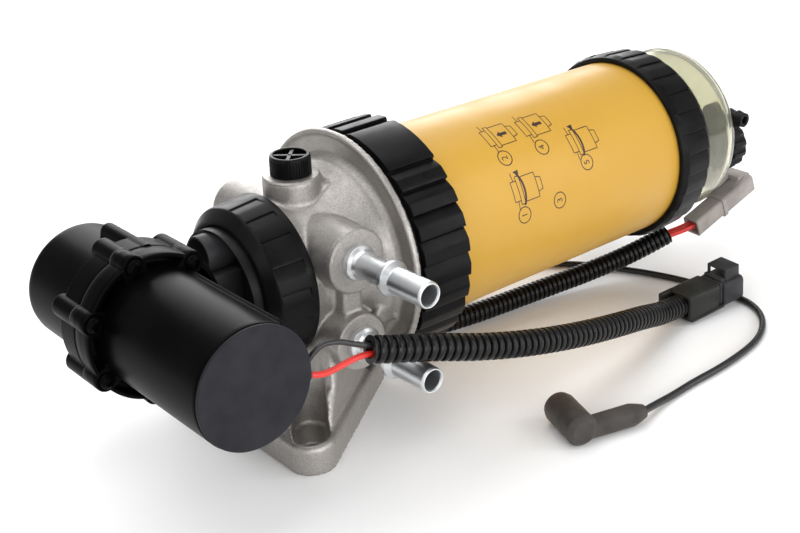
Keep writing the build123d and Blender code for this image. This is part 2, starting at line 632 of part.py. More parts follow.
def drain_knob():
    """Fluted knob on the valve's stem."""
    x0 = BOWL_END + DRAIN_BODY_T + SEAT
    knob = rod_x(x0, x0 + KNOB_T, KNOB_R, DRAIN_Y, DRAIN_Z)
    knob = chamfer(knob.edges().sort_by(Axis.X)[-1], 1.5)
    for y, z, _ in around(KNOB_R + 0.8, KNOB_FLUTES):
        knob -= rod_x(x0 - 1, x0 + KNOB_T + 1, KNOB_FLUTE_R, DRAIN_Y + y, DRAIN_Z + z)
    knob -= rod_x(x0 + KNOB_T - 4, x0 + KNOB_T + 1, KNOB_R - 5, DRAIN_Y, DRAIN_Z)
    grip = block(x0 + KNOB_T - 4, x0 + KNOB_T, DRAIN_Y - KNOB_R + 4, DRAIN_Y + KNOB_R - 4,
                 AXIS_H + DRAIN_Z - 2, AXIS_H + DRAIN_Z + 2)
    knob += grip & rod_x(x0, x0 + KNOB_T, KNOB_R - 4.5, DRAIN_Y, DRAIN_Z)
    return knob + rod_x(BOWL_END - DRAIN_STEM_IN, x0 + 1, DRAIN_STEM_R, DRAIN_Y, DRAIN_Z)


def pair_plane(along):
    """Plane across the sensor's connector pair, a given way along it."""
    start = Vector(*SENSOR_PAIR_START)
    run = (Vector(*SENSOR_PAIR_END) - start).normalized()
    return Plane(origin=start + run * along, x_dir=(0, 1, 0), z_dir=run)


def water_sensor():
    """Water sensor: threaded stub in the bowl, hexagon, side arm and its two-pin socket."""
    body = rod_x(BOWL_END - BOWL_WALL - 1, BOWL_END + 1, SENSOR_R - 2.1, SENSOR_Y, SENSOR_Z)
    hexagon = RegularPolygon(SENSOR_HEX / 2, 6, major_radius=False)
    plane = Plane(origin=(BOWL_END, SENSOR_Y, AXIS_H + SENSOR_Z), z_dir=(1, 0, 0))
    body += extrude(plane * hexagon, 7)
    body += rod_x(BOWL_END, BOWL_END + SENSOR_LEN, SENSOR_R, SENSOR_Y, SENSOR_Z)
    arm_x = BOWL_END + SENSOR_LEN - 2
    low = SENSOR_PAIR_START[2] - SOCKET_W / 2
    near = SENSOR_PAIR_START[1] + SOCKET_W / 2
    body += block(arm_x, SENSOR_PAIR_START[0] + 4, near + 0.2, SENSOR_Y + SENSOR_R - 1,
                  low + 2, low + SOCKET_W)
    body += block(SENSOR_PAIR_START[0] - 8, SENSOR_PAIR_START[0] + 4, near - 8, near + 1,
                  low + 2, low + SOCKET_W)
    shell = extrude(pair_plane(-3) * RectangleRounded(SOCKET_W, SOCKET_W, 2.5), SOCKET_LEN + 3)
    shell -= extrude(pair_plane(SOCKET_LEN - 11) * RectangleRounded(SOCKET_W - 3, SOCKET_W - 3, 1.5), 12)
    body += shell
    for side in (-1, 1):
        body += extrude(pair_plane(SOCKET_LEN - 12) * Pos(side * 3, 0) * Circle(PROBE_R - 0.2), 8)
    return body


def sensor_plug():
    """Wire-side half of the sensor's connector, with an open recess where the leads enter."""
    nose = SOCKET_W - 3 - 2 * SEAT
    body = extrude(pair_plane(SOCKET_LEN - 9) * RectangleRounded(nose, nose, 1.2), 10)
    body += extrude(pair_plane(SOCKET_LEN + SEAT) * RectangleRounded(SOCKET_W + 1.5, SOCKET_W + 1.5, 2.5), 3)
    shell = RectangleRounded(SENSOR_PLUG_W, SENSOR_PLUG_W, 2.2)
    body += extrude(pair_plane(SOCKET_LEN + SEAT) * shell, SENSOR_PLUG_LEN)
    mouth = RectangleRounded(SENSOR_PLUG_W - 3, SENSOR_PLUG_W - 3, 1.2)
    body -= extrude(pair_plane(PAIR_LEN - PLUG_MOUTH) * mouth, 2 * PLUG_MOUTH)
    for side in (-1, 1):
        body -= extrude(pair_plane(SOCKET_LEN - 10) * Pos(side * 3, 0) * Circle(PROBE_R), 9)
    return body


def sensor_probes():
    """Two metal probes that stand in the bowl."""
    x0 = BOWL_END - BOWL_WALL - 1 - PROBE_LEN
    pins = [rod_x(x0, BOWL_END - BOWL_WALL - 1, PROBE_R, SENSOR_Y + side * 3, SENSOR_Z)
            for side in (-1, 1)]
    return Compound(children=pins)


def nipple(z):
    """Steel hose nipple: plug in the port, collar on its face, hose bead and bevelled tip."""
    face = -PORT_REACH
    tip = face - NIPPLE_LEN
    bead = face - NIPPLE_BEAD_AT
    outline = [
        (NIPPLE_BORE, face + PORT_DEPTH - 2), (NIPPLE_PLUG_R, face + PORT_DEPTH - 2),
        (NIPPLE_PLUG_R, face + 10), (NIPPLE_PLUG_R - 1.6, face + 10), (NIPPLE_PLUG_R - 1.6, face + 7),
        (NIPPLE_PLUG_R, face + 7), (NIPPLE_PLUG_R, face), (NIPPLE_COLLAR_R, face),
        (NIPPLE_COLLAR_R, face - NIPPLE_COLLAR_T + 1.5), (NIPPLE_R + 0.6, face - NIPPLE_COLLAR_T),
        (NIPPLE_R, face - NIPPLE_COLLAR_T - 2), (NIPPLE_R, bead + 3.4), (NIPPLE_BEAD_R, bead + 1.8),
        (NIPPLE_BEAD_R, bead - 0.2), (NIPPLE_R, bead - 3.6), (NIPPLE_R, tip + NIPPLE_LIP),
        (NIPPLE_R - NIPPLE_LIP / 2, tip), (NIPPLE_BORE + 0.4, tip), (NIPPLE_BORE, tip + 0.8)]
    shape = revolve(make_face(Polyline(*outline, close=True)), Axis.Y, 360)
    return Pos(PORT_X, 0, AXIS_H + z) * shape


def nipple_seals():
    """Small square seals in the nipples' plug grooves."""
    seals = []
    for z in (UPPER_PORT_Z, LOWER_PORT_Z):
        y0 = -PORT_REACH + 7.1
        outer = rod((PORT_X, y0, AXIS_H + z), (0, 1, 0), 2.8, NIPPLE_PLUG_R)
        seals.append(outer - rod((PORT_X, y0, AXIS_H + z), (0, 1, 0), 2.8, NIPPLE_PLUG_R - 1.55))
    return Compound(children=seals)


def vent_plug():
    """Air bleed screw: round head with a hollow top crossed by two ribs."""
    z0 = AXIS_H + VENT_TOP + SEAT
    head = rod((PORT_X, 0, z0), (0, 0, 1), PLUG_H, PLUG_R)
    head = chamfer(head.edges().sort_by(Axis.Z)[-1], 0.6)
    floor = z0 + PLUG_H - PLUG_HOLLOW
    head -= rod((PORT_X, 0, floor), (0, 0, 1), PLUG_HOLLOW + 1, PLUG_HOLLOW_R)
    ribs = Rot(0, 0, 45) * Box(2 * PLUG_HOLLOW_R + 1, PLUG_RIB, PLUG_HOLLOW - 0.6)
    ribs += Rot(0, 0, -45) * Box(2 * PLUG_HOLLOW_R + 1, PLUG_RIB, PLUG_HOLLOW - 0.6)
    head += Pos(PORT_X, 0, floor + (PLUG_HOLLOW - 0.6) / 2) * ribs
    return head + rod((PORT_X, 0, z0 - PLUG_SHANK_LEN), (0, 0, 1), PLUG_SHANK_LEN, PLUG_SHANK_R)


def pump_lock_ring():
    """Grip ring that holds the pump's base on the head's collar."""
    length = PUMP_RING_LEN - PUMP_RING_CHAMFER
    x1 = PUMP_RING_X + PUMP_RING_LEN
    body = panelled_prism(x1 - length, length, PUMP_RING_FRONT_R, PUMP_RING_STEP, PUMP_RING_PANELS,
                          PUMP_RING_R)
    front_r = PUMP_RING_FRONT_R - PUMP_RING_STEP
    body += turned_x([(PUMP_RING_X, PUMP_RING_LIP_R), (PUMP_RING_X, front_r - PUMP_RING_CHAMFER),
                      (x1 - length, front_r), (x1 - length, PUMP_RING_LIP_R)])
    body -= rod_x(BASE_FLANGE_X - SEAT, x1 + 1, COLLAR_R + SEAT)
    return body - rod_x(PUMP_RING_X - 1, x1, PUMP_RING_LIP_R)


def pump_base():
    """Moulded base: spigot in the head, clamped flange, ribbed cup and the neck to the pump."""
    spigot_r = COLLAR_BORE - SEAT
    groove = COLLAR_END + 6
    end = COLLAR_END + BASE_SPIGOT_LEN
    inner = spigot_r - 5.6
    body = turned_x([
        (CUP_FRONT, CUP_R - CUP_WALL), (CUP_FRONT, CUP_R), (BASE_FLANGE_X, CUP_R),
        (BASE_FLANGE_X, BASE_FLANGE_R), (COLLAR_END, BASE_FLANGE_R), (COLLAR_END, spigot_r),
        (groove, spigot_r), (groove, spigot_r - SEAL_SIZE + 1.2),
        (groove + SEAL_SIZE, spigot_r - SEAL_SIZE + 1.2), (groove + SEAL_SIZE, spigot_r),
        (end, spigot_r), (end, inner), (BASE_FLANGE_X - 1 + BASE_WEB_T, inner),
        (BASE_FLANGE_X - 1 + BASE_WEB_T, 0), (BASE_FLANGE_X - 1, 0),
        (BASE_FLANGE_X - 1, CUP_R - CUP_WALL)])
    for y, z, angle in around(CUP_R / 2 + 4, 8, radians(22.5)):
        rib = Box(CUP_DEPTH - 3, CUP_R - 12, 2)
        rib = Pos(BASE_FLANGE_X - (CUP_DEPTH - 3) / 2, y, AXIS_H + z) * Rot(angle, 0, 0) * rib
        body += rib & rod_x(CUP_FRONT, BASE_FLANGE_X, CUP_R - 1)
    body += block(NECK_X, BASE_FLANGE_X, NECK_Y - NECK_W / 2, NECK_Y + NECK_W / 2,
                  AXIS_H - NECK_H / 2, AXIS_H + NECK_H / 2)
    body += rod_x(COLLAR_END - 1, CORE_START + 3, DELIVERY_TUBE_R, DUCT_Y, DUCT_Z)
    body -= rod_x(NECK_X - 1, CORE_START + 4, DUCT_R, DUCT_Y, DUCT_Z)
    return body - rod_x(NECK_X - 1, COLLAR_END + 5, DUCT_R, DUCT_Y, -DUCT_Z)


def base_seal_ring():
    """Square seal on the base's spigot."""
    groove = COLLAR_END + 6
    return ring_x(groove + 0.1, groove + SEAL_SIZE - 0.1, COLLAR_BORE - 0.05,
                  COLLAR_BORE - SEAT - SEAL_SIZE + 1.25)


def lug_places():
    """The six screw places, as (x, z) from the pump axis. The one at the neck is left out."""
    return [(LUG_CIRCLE_R * cos(radians(a)), LUG_CIRCLE_R * sin(radians(a))) for a in LUG_ANGLES]


def lug_pads():
    """Round lugs and the flat pads that join them to the barrel."""
    inner = MOTOR_R - 2
    middle = (LUG_CIRCLE_R + inner) / 2
    pads = [Pos(x, z) * Circle(LUG_R) for x, z in lug_places()]
    for a in LUG_ANGLES:
        pad = Rectangle(LUG_CIRCLE_R - inner, 2 * LUG_R)
        pads.append(Pos(middle * cos(radians(a)), middle * sin(radians(a))) * Rot(0, 0, a) * pad)
    return pads


def flange_outline(radius):
    """Round flange with a lug at each screw."""
    face = Circle(radius)
    for pad in lug_pads():
        face += pad
    return face


def flange_slab(y0, y1, radius):
    """Flange outline carried from y0 to y1."""
    plane = Plane(origin=(PUMP_X, y0, AXIS_H), x_dir=(1, 0, 0), z_dir=(0, -1, 0))
    return extrude(plane * flange_outline(radius), y0 - y1)


def pump_housing():
    """Rear half: pump chamber, screw columns, neck and the closed rear barrel."""
    body = turned_y([
        (PUMP_EYE_R, CHAMBER_END), (CHAMBER_R, CHAMBER_END), (CHAMBER_R, GASKET_T), (FLANGE_R, GASKET_T),
        (FLANGE_R, PUMP_FLANGE_T - 1.5), (FLANGE_R - 1.5, PUMP_FLANGE_T), (PUMP_R, PUMP_FLANGE_T),
        (PUMP_R, PUMP_END - 2), (PUMP_R - 2, PUMP_END), (0, PUMP_END), (0, PUMP_END - PUMP_WALL),
        (PUMP_R - PUMP_WALL, PUMP_END - PUMP_WALL), (PUMP_R - PUMP_WALL, PUMP_FLANGE_T + PUMP_WALL),
        (PUMP_EYE_R, PUMP_FLANGE_T + PUMP_WALL)])
    columns = []
    holes = []
    for x, z in lug_places():
        column = rod_y(GASKET_T, PUMP_FLANGE_T + COLUMN_LEN, LUG_R, x, z)
        columns.append(chamfer(column.edges().sort_by(Axis.Y)[-1], 1.5))
        holes.append(rod_y(GASKET_T, SCREW_LEN - MOTOR_FLANGE_T + 1, SCREW_R + FIT, x, z))
    for column in columns:
        body += column - rod_y(0, PUMP_END, PUMP_R - 1)
    boss_x = (PUMP_R + 2.5) * cos(radians(TOP_BOSS_ANGLE))
    boss_z = (PUMP_R + 2.5) * sin(radians(TOP_BOSS_ANGLE))
    boss = rod_y(PUMP_FLANGE_T - 2, TOP_BOSS_END, TOP_BOSS_R, boss_x, boss_z)
    boss = chamfer(boss.edges().sort_by(Axis.Y)[-1], 1.5)
    body += boss - rod_y(0, PUMP_END, PUMP_R - 1)
    body += block(PUMP_X + CHAMBER_R + 4, NECK_X, GASKET_T, NECK_Y + NECK_W / 2,
                  AXIS_H - NECK_H / 2, AXIS_H + NECK_H / 2)
    duct_len = NECK_X - PUMP_X
    for z in (-DUCT_Z, DUCT_Z):
        holes.append(rod((PUMP_X + 17, DUCT_Y, AXIS_H + z), (1, 0, 0), duct_len, DUCT_R))
    for hole in holes:
        body -= hole
    return body


def housing_gasket():
    """Thin gasket between the two housings."""
    body = flange_slab(0, GASKET_T, FLANGE_R - 0.4) - rod_y(-1, 2, CHAMBER_R + 1)
    return body - [rod_y(-1, 2, SCREW_R + FIT, x, z) for x, z in lug_places()]


def housing_screws():
    """Six screws: low round heads on the motor side, plain shanks into the pump housing."""
    screws = []
    for x, z in lug_places():
        head = rod_y(-MOTOR_FLANGE_T - SCREW_HEAD_T, -MOTOR_FLANGE_T, SCREW_HEAD_R, x, z)
        head = chamfer(head.edges().sort_by(Axis.Y)[0], 1.0)
        socket = Plane(origin=(PUMP_X + x, -MOTOR_FLANGE_T - SCREW_HEAD_T, AXIS_H + z), z_dir=(0, 1, 0))
        head -= extrude(socket * RegularPolygon(2.3, 6), 2.0)
        screws.append(head + rod_y(-MOTOR_FLANGE_T, SCREW_LEN - MOTOR_FLANGE_T, SCREW_R, x, z))
    return Compound(children=screws)


def motor_housing():
    """Front half: barrel for the motor, bulkhead with bearing seat, and the lugged flange."""
    bore = MOTOR_BORE
    body = turned_y([
        (MOTOR_R, MOTOR_END), (MOTOR_R, 0), (BEARING_R - 1, 0), (BEARING_R - 1, -SEAL_T),
        (SHAFT_R + SEAT, -SEAL_T), (SHAFT_R + SEAT, -BULKHEAD_T), (BEARING_R + FIT, -BULKHEAD_T),
        (BEARING_R + FIT, REAR_BEARING_Y), (BEARING_R + 3, REAR_BEARING_Y),
        (BEARING_R + 3, -BULKHEAD_T + 1), (bore, -BULKHEAD_T + 1), (bore, MOTOR_END)])
    flange = flange_slab(-MOTOR_FLANGE_T, 0, FLANGE_R)
    trough = Circle(FLANGE_R - 2) - Circle(MOTOR_R)
    for pad in lug_pads():
        trough -= pad
    front = Plane(origin=(PUMP_X, -MOTOR_FLANGE_T - 1, AXIS_H), x_dir=(1, 0, 0), z_dir=(0, -1, 0))
    flange -= extrude(front * trough, -FLANGE_POCKET - 1)
    flange -= rod_y(-MOTOR_FLANGE_T - 1, 1, MOTOR_R - 0.5)
    body += flange
    body -= [rod_y(-MOTOR_FLANGE_T - 1, 1, SCREW_R + FIT, x, z) for x, z in lug_places()]
    side = (PUMP_X + MOTOR_BORE - 5, GROMMET_Y, AXIS_H + GROMMET_Z)
    return body - rod(side, (1, 0, 0), 12, LEAD_GROMMET_R + 0.1)


def motor_cap():
    """Flat end cap that plugs into the motor barrel."""
    return turned_y([
        (0, MOTOR_END - CAP_DISC_T), (CAP_DISC_R - 0.5, MOTOR_END - CAP_DISC_T),
        (CAP_DISC_R, MOTOR_END - CAP_DISC_T + 0.5), (CAP_DISC_R, MOTOR_END),
        (MOTOR_BORE - 0.1, MOTOR_END), (MOTOR_BORE - 0.1, MOTOR_END + CAP_SPIGOT),
        (MOTOR_BORE - 3, MOTOR_END + CAP_SPIGOT), (MOTOR_BORE - 3, MOTOR_END), (0, MOTOR_END)])


def motor_can():
    """Steel motor shell with a pressed bearing cup in its closed end."""
    inner = MOTOR_CAN_R - CAN_MOTOR_WALL
    return turned_y([
        (MOTOR_CAN_R, MOTOR_CAN_Y), (MOTOR_CAN_R, REAR_BEARING_Y - 1), (inner, REAR_BEARING_Y - 1),
        (inner, MOTOR_CAN_Y + CAN_MOTOR_WALL), (BEARING_R + FIT, MOTOR_CAN_Y + CAN_MOTOR_WALL),
        (BEARING_R + FIT, FRONT_BEARING_Y), (BEARING_R + 1.5, FRONT_BEARING_Y),
        (BEARING_R + 1.5, MOTOR_CAN_Y)])


def magnets():
    """Two curved magnets inside the motor shell."""
    y0 = ARMATURE_Y - 6
    shells = []
    for middle in (90, 270):
        wedge = make_face(Polyline((0, 0), *[
            (60 * cos(radians(middle + a)), 60 * sin(radians(middle + a)))
            for a in (-MAGNET_ARC / 2, 0, MAGNET_ARC / 2)], close=True))
        face = (Circle(MAGNET_R) - Circle(MAGNET_R - MAGNET_T)) & wedge
        plane = Plane(origin=(PUMP_X, y0, AXIS_H), x_dir=(1, 0, 0), z_dir=(0, -1, 0))
        shells.append(extrude(plane * face, -MAGNET_LEN))
    return Compound(children=shells)


def motor_shaft():
    """Shaft from the front bearing to the impeller."""
    return rod_y(FRONT_BEARING_Y, CHAMBER_END - 0.8, SHAFT_R)


def armature():
    """Slotted steel core on the shaft."""
    face = Circle(ARMATURE_R) - Circle(SHAFT_R + FIT)
    for x, z, angle in around(ARMATURE_R - 3, ARMATURE_SLOTS):
        face -= Pos(x, z) * Rot(0, 0, angle) * Rectangle(8, 3)
    plane = Plane(origin=(PUMP_X, ARMATURE_Y, AXIS_H), x_dir=(1, 0, 0), z_dir=(0, -1, 0))
    return extrude(plane * face, -ARMATURE_LEN)


def windings():
    """Copper coil heads at both ends of the armature."""
    heads = []
    for y, way in ((ARMATURE_Y, -1), (ARMATURE_Y + ARMATURE_LEN, 1)):
        heads.append(turned_y([
            (7, y), (19, y), (19, y + way * 4), (16, y + way * 6.5), (9, y + way * 6.5),
            (7, y + way * 4)]))
    return Compound(children=heads)


def commutator():
    """Copper commutator on the shaft."""
    y0 = ARMATURE_Y + ARMATURE_LEN + 7
    return ring_y(y0, y0 + COMMUTATOR_LEN, COMMUTATOR_R, SHAFT_R + FIT)


def brush_holder():
    """Plate that closes the motor shell and carries the brushes."""
    y0 = ARMATURE_Y + ARMATURE_LEN + 7 + COMMUTATOR_LEN + 1
    return ring_y(y0, REAR_BEARING_Y - 1, MOTOR_CAN_R - CAN_MOTOR_WALL - 0.1, COMMUTATOR_R + 3)


def brushes():
    """Two carbon brushes beside the commutator."""
    y1 = ARMATURE_Y + ARMATURE_LEN + 7 + COMMUTATOR_LEN + 1
    blocks = []
    for side in (-1, 1):
        near = side * (COMMUTATOR_R + 0.2)
        far = side * (COMMUTATOR_R + BRUSH_LEN)
        blocks.append(block(PUMP_X + min(near, far), PUMP_X + max(near, far), y1 - BRUSH_W - 3, y1,
                            AXIS_H - BRUSH_W / 2, AXIS_H + BRUSH_W / 2))
    return Compound(children=blocks)


def impeller():
    """Regenerative impeller: a disc with a row of notches round its edge."""
    face = Circle(CHAMBER_R - SEAT) - Circle(SHAFT_R + FIT)
    for x, z, angle in around(CHAMBER_R - SEAT - 1.5, IMPELLER_VANES):
        face -= Pos(x, z) * Rot(0, 0, angle) * Rectangle(6, 3.2)
    y0 = GASKET_T
    plane = Plane(origin=(PUMP_X, y0, AXIS_H), x_dir=(1, 0, 0), z_dir=(0, -1, 0))
    return extrude(plane * face, -IMPELLER_T)


def lead_grommet():
    """Rubber grommet where the two leads leave the motor barrel."""
    x0 = PUMP_X + MOTOR_BORE
    x1 = RED_LEAD_START[0][0]
    centre = (x0, GROMMET_Y, AXIS_H + GROMMET_Z)
    body = rod(centre, (1, 0, 0), x1 - x0, LEAD_GROMMET_R)
    head = PUMP_X + MOTOR_R + 0.2
    return body + rod((head, GROMMET_Y, AXIS_H + GROMMET_Z), (1, 0, 0), x1 - head, LEAD_GROMMET_R + 1.4)


def cord_radii(points):
    """Largest arc at each corner: 0.45 of the shorter run over the tangent of half the turn."""
    radii = []
    for a, b, c in zip(points, points[1:], points[2:]):
        run_in = Vector(*b) - Vector(*a)
        run_out = Vector(*c) - Vector(*b)
        turn = radians(run_in.get_angle(run_out))
        radii.append(0.45 * min(run_in.length, run_out.length) / tan(turn / 2))
    return radii


def cord(name, points, radius, bore=0.0):
    """Sweep a round section along straight runs joined by tangent arcs."""
    radii = cord_radii(points)
    path = FilletPolyline(*points, radius=radii)
    section = Circle(radius) - Circle(bore) if bore else Circle(radius)
    solid = sweep(Plane(origin=path @ 0, z_dir=path % 0) * section, path=path)
    ratio = solid.volume / (pi * (radius**2 - bore**2) * path.length)
    print(f"{name}: length {path.length:.1f} mm, smallest radii",
          [round(r, 1) for r in sorted(radii)[:3]], f"volume ratio {ratio:.4f}")
    save(name, solid)


def shifted(points, offset):
    """A route moved sideways as a whole."""
    return [tuple(p + o for p, o in zip(point, offset)) for point in points]


def connector_at(x, y, z):
    """Place in the power connector, measured from the motor conduit's end."""
    lie = Pos(*MOTOR_CONDUIT_ROUTE[-1]) * Rot(0, 0, CONNECTOR_YAW) * Rot(0, -CONNECTOR_PITCH, 0)
    return lie * Pos(x, y, z)


def connector_block(x0, x1, width, height, corner):
    """Block across the connector's own axis, with its long edges rounded."""
    plane = Plane(connector_at(x0, 0, 0) * Rot(0, 90, 0))
    return extrude(plane * RectangleRounded(height, width, corner), x1 - x0)


def power_connector_pins():
    """Lead-side half: body with a recess for the conduit, side tab and sealing step."""
    body = connector_block(-2, CONNECTOR_BODY, CONNECTOR_W, CONNECTOR_H, 2.2)
    body -= connector_block(-3, 0, CONNECTOR_W - 3.4, CONNECTOR_H - 1.6, 1.5)
    body += connector_block(CONNECTOR_BODY - 1, CONNECTOR_BODY + CONNECTOR_GASKET,
                            CONNECTOR_W - 1.4, CONNECTOR_H - 1.4, 1.8)
    return body + connector_at(-5, CONNECTOR_W / 2 - 0.8, 4) * Box(7, 1.6, 8)


def power_connector_latch():
    """Mating half: square shell with a raised latch bridge, and a mouth for the vehicle's plug."""
    start = CONNECTOR_BODY + CONNECTOR_GASKET
    end = start + CONNECTOR_SHELL
    body = connector_block(start, end, CONNECTOR_W + 1, CONNECTOR_H + 0.5, 3.5)
    top = CONNECTOR_H / 2 + 0.25
    middle = start + CONNECTOR_SHELL / 2 + 2
    length = CONNECTOR_SHELL - 3
    bridge = Box(length, LATCH_W, LATCH_H + 1)
    bridge -= Pos(0, 0, -LATCH_WALL / 2) * Box(length + 1, LATCH_W - 2 * LATCH_WALL, LATCH_H + 1 - LATCH_WALL)
    body += connector_at(middle, 0, top + (LATCH_H - 1) / 2) * bridge
    return body - connector_block(end - 9, end + 1, 13.0, 11.0, 1.0)


def harness_splice():
    """Moulded junction where the sensor conduit and the boot lead join, under the head."""
    end_x = SENSOR_CONDUIT_ROUTE[0][0]
    y = (SENSOR_CONDUIT_ROUTE[0][1] + BOOT_LEAD_ROUTE[0][1]) / 2
    body = Pos(end_x - SPLICE_LEN / 2, y, SPLICE_H / 2 + 0.1) * Box(SPLICE_LEN, SPLICE_W, SPLICE_H)
    return chamfer(body.edges().filter_by(Axis.X), 2.5)


def elbow_boot():
    """Rubber elbow boot: slim grip on the lead and a wide socket across it."""
    run = Vector(-0.966, 0.259, 0).normalized()
    start = Vector(*BOOT_LEAD_ROUTE[-1])
    slim = Plane.XZ * make_face(Polyline(
        (0, 0), (BOOT_LEAD_R + 1.8, 0), (BOOT_R - 0.9, 4.5), (BOOT_R, 8),
        (BOOT_R - 0.1, BOOT_LEN - 2), (0, BOOT_LEN - 2), close=True))
    grip = Plane(origin=start, z_dir=run).location * revolve(slim, Axis.Z, 360)
    across = Vector(0.33, 0.944, 0).normalized()
    corner = start + run * BOOT_LEN
    low = Vector(corner.X, corner.Y, BOOT_SOCKET_R + 0.1) - across * (BOOT_R + 1)
    wide = Plane.XZ * make_face(Polyline(
        (0, 0), (BOOT_SOCKET_R - 2.8, 0), (BOOT_SOCKET_R, 2.8), (BOOT_SOCKET_R, BOOT_SOCKET_LEN - 3),
        (BOOT_SOCKET_R - 0.8, BOOT_SOCKET_LEN), (BOOT_SOCKET_BORE, BOOT_SOCKET_LEN),
        (BOOT_SOCKET_BORE, BOOT_SOCKET_LEN - 18), (0, BOOT_SOCKET_LEN - 18), close=True))
    socket = Plane(origin=low, x_dir=run, z_dir=across).location * revolve(wide, Axis.Z, 360)
    return grip + socket


MEDIA_X = CAN_X + END_SPIGOT + 0.6 + CAP_T
MEDIA_END = CAN_END - WATER_GAP - CAP_T
PAIR_LEN = (Vector(*SENSOR_PAIR_END) - Vector(*SENSOR_PAIR_START)).length
PLUG_MOUTH = 5.0

save("filter_head", filter_head())
save("head_lock_ring", head_lock_ring())
save("head_seal_ring", head_seal_ring())
save("cartridge_can", cartridge_can())
save("cartridge_top_plate", cartridge_top_plate())
save("cartridge_grommet", cartridge_grommet())
save("cartridge_bottom_collar", cartridge_bottom_collar())
save("centre_tube", centre_tube())
save("pleated_media", pleated_media())
save("upper_end_cap", ring_x(MEDIA_X - CAP_T, MEDIA_X, CAP_R, TUBE_R + 0.1))
save("lower_end_cap", ring_x(MEDIA_END, MEDIA_END + CAP_T, CAP_R, TUBE_R + 0.1))
save("bowl_lock_ring", bowl_lock_ring())
save("bowl_seal_ring", ring_x(COLLAR_FLANGE_END, BOWL_FLANGE_X, COLLAR_FLANGE_R - 1, BOWL_R - 1))
save("sediment_bowl", sediment_bowl())
save("drain_valve_body", drain_valve_body())
save("drain_knob", drain_knob())
save("water_sensor", water_sensor())
save("sensor_probes", sensor_probes())
save("sensor_plug", sensor_plug())
save("inlet_nipple", nipple(UPPER_PORT_Z))
save("outlet_nipple", nipple(LOWER_PORT_Z))
save("nipple_seals", nipple_seals())
save("vent_plug", vent_plug())
save("pump_lock_ring", pump_lock_ring())
save("pump_base", pump_base())
save("base_seal_ring", base_seal_ring())
save("pump_housing", pump_housing())
save("housing_gasket", housing_gasket())
save("housing_screws", housing_screws())
save("motor_housing", motor_housing())
save("motor_cap", motor_cap())
save("motor_can", motor_can())
save("magnets", magnets())
save("motor_shaft", motor_shaft())
save("armature", armature())
save("windings", windings())
save("commutator", commutator())
save("brush_holder", brush_holder())
save("brushes", brushes())
save("front_bearing", ring_y(FRONT_BEARING_Y, MOTOR_CAN_Y, BEARING_R, SHAFT_R + FIT))
save("rear_bearing", ring_y(REAR_BEARING_Y, -BULKHEAD_T, BEARING_R, SHAFT_R + FIT))
save("shaft_seal", ring_y(-SEAL_T, 0, BEARING_R - 1.05, SHAFT_R + FIT))
save("impeller", impeller())
save("lead_grommet", lead_grommet())
save("power_connector_pins", power_connector_pins())
save("power_connector_latch", power_connector_latch())
save("harness_splice", harness_splice())
save("elbow_boot", elbow_boot())

cord("motor_conduit", MOTOR_CONDUIT_ROUTE, MOTOR_CONDUIT_R, MOTOR_CONDUIT_R - CONDUIT_WALL)
cord("red_lead", RED_LEAD_START + shifted(MOTOR_CONDUIT_ROUTE, (0, 0, -WIRE_SPREAD)), WIRE_R)
cord("black_lead", BLACK_LEAD_START + shifted(MOTOR_CONDUIT_ROUTE, (0, 0, WIRE_SPREAD)), WIRE_R)
cord("sensor_conduit", SENSOR_CONDUIT_ROUTE, SENSOR_CONDUIT_R, SENSOR_CONDUIT_R - CONDUIT_WALL)
SENSOR_LEAD_ROUTE = SENSOR_CONDUIT_ROUTE + SENSOR_LEAD_END
cord("sensor_lead_near", shifted(SENSOR_LEAD_ROUTE, (0, -WIRE_SPREAD, 0)), WIRE_R)
cord("sensor_lead_far", shifted(SENSOR_LEAD_ROUTE, (0, WIRE_SPREAD, 0)), WIRE_R)
cord("boot_lead", BOOT_LEAD_ROUTE, BOOT_LEAD_R)
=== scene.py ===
"""Fuel priming pump with filter head, cartridge, bowl and harness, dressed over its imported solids."""
import json
from math import cos, pi, radians, sin, tau

import bmesh
import bpy
import numpy as np
from bpy.props import FloatProperty, FloatVectorProperty, IntProperty, PointerProperty
from mathutils import Matrix, Vector


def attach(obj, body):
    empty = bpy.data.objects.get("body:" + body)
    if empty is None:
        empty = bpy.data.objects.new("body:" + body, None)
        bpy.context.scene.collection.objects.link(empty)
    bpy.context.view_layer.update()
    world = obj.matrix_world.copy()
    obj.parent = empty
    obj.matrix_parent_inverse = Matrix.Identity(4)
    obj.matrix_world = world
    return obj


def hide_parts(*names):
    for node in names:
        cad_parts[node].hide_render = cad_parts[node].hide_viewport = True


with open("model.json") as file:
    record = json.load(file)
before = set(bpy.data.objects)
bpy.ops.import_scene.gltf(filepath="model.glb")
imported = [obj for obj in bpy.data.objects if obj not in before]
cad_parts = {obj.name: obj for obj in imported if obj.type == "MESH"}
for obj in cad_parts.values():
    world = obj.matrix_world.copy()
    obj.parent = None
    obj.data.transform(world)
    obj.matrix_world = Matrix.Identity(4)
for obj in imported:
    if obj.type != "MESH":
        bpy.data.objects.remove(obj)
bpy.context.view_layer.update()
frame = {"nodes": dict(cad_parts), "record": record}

bl_info = {
    "name": "Filter and priming pump",
    "version": (1, 0, 0),
    "blender": (4, 5, 0),
    "location": "View3D > Sidebar > Filter pump",
    "description": "Dresses the packed filter and priming pump with surfaces, finishes, floor and light",
    "category": "Object",
}

# Places in millimetres, as in the solid model
MM = 0.001  # in metres
AXIS_H = 85.0  # height of the cartridge's axis above the foot's face
CAN_R = 54.5  # outside of the cartridge's shell
PORT_X = 35.0  # the ports, their nipples and the bleed screw lie in this plane
UPPER_PORT_H, LOWER_PORT_H = 102.5, 57.0
PUMP_X = -57.5  # the pump and motor axis runs along Y at this x


# Colour and node helpers

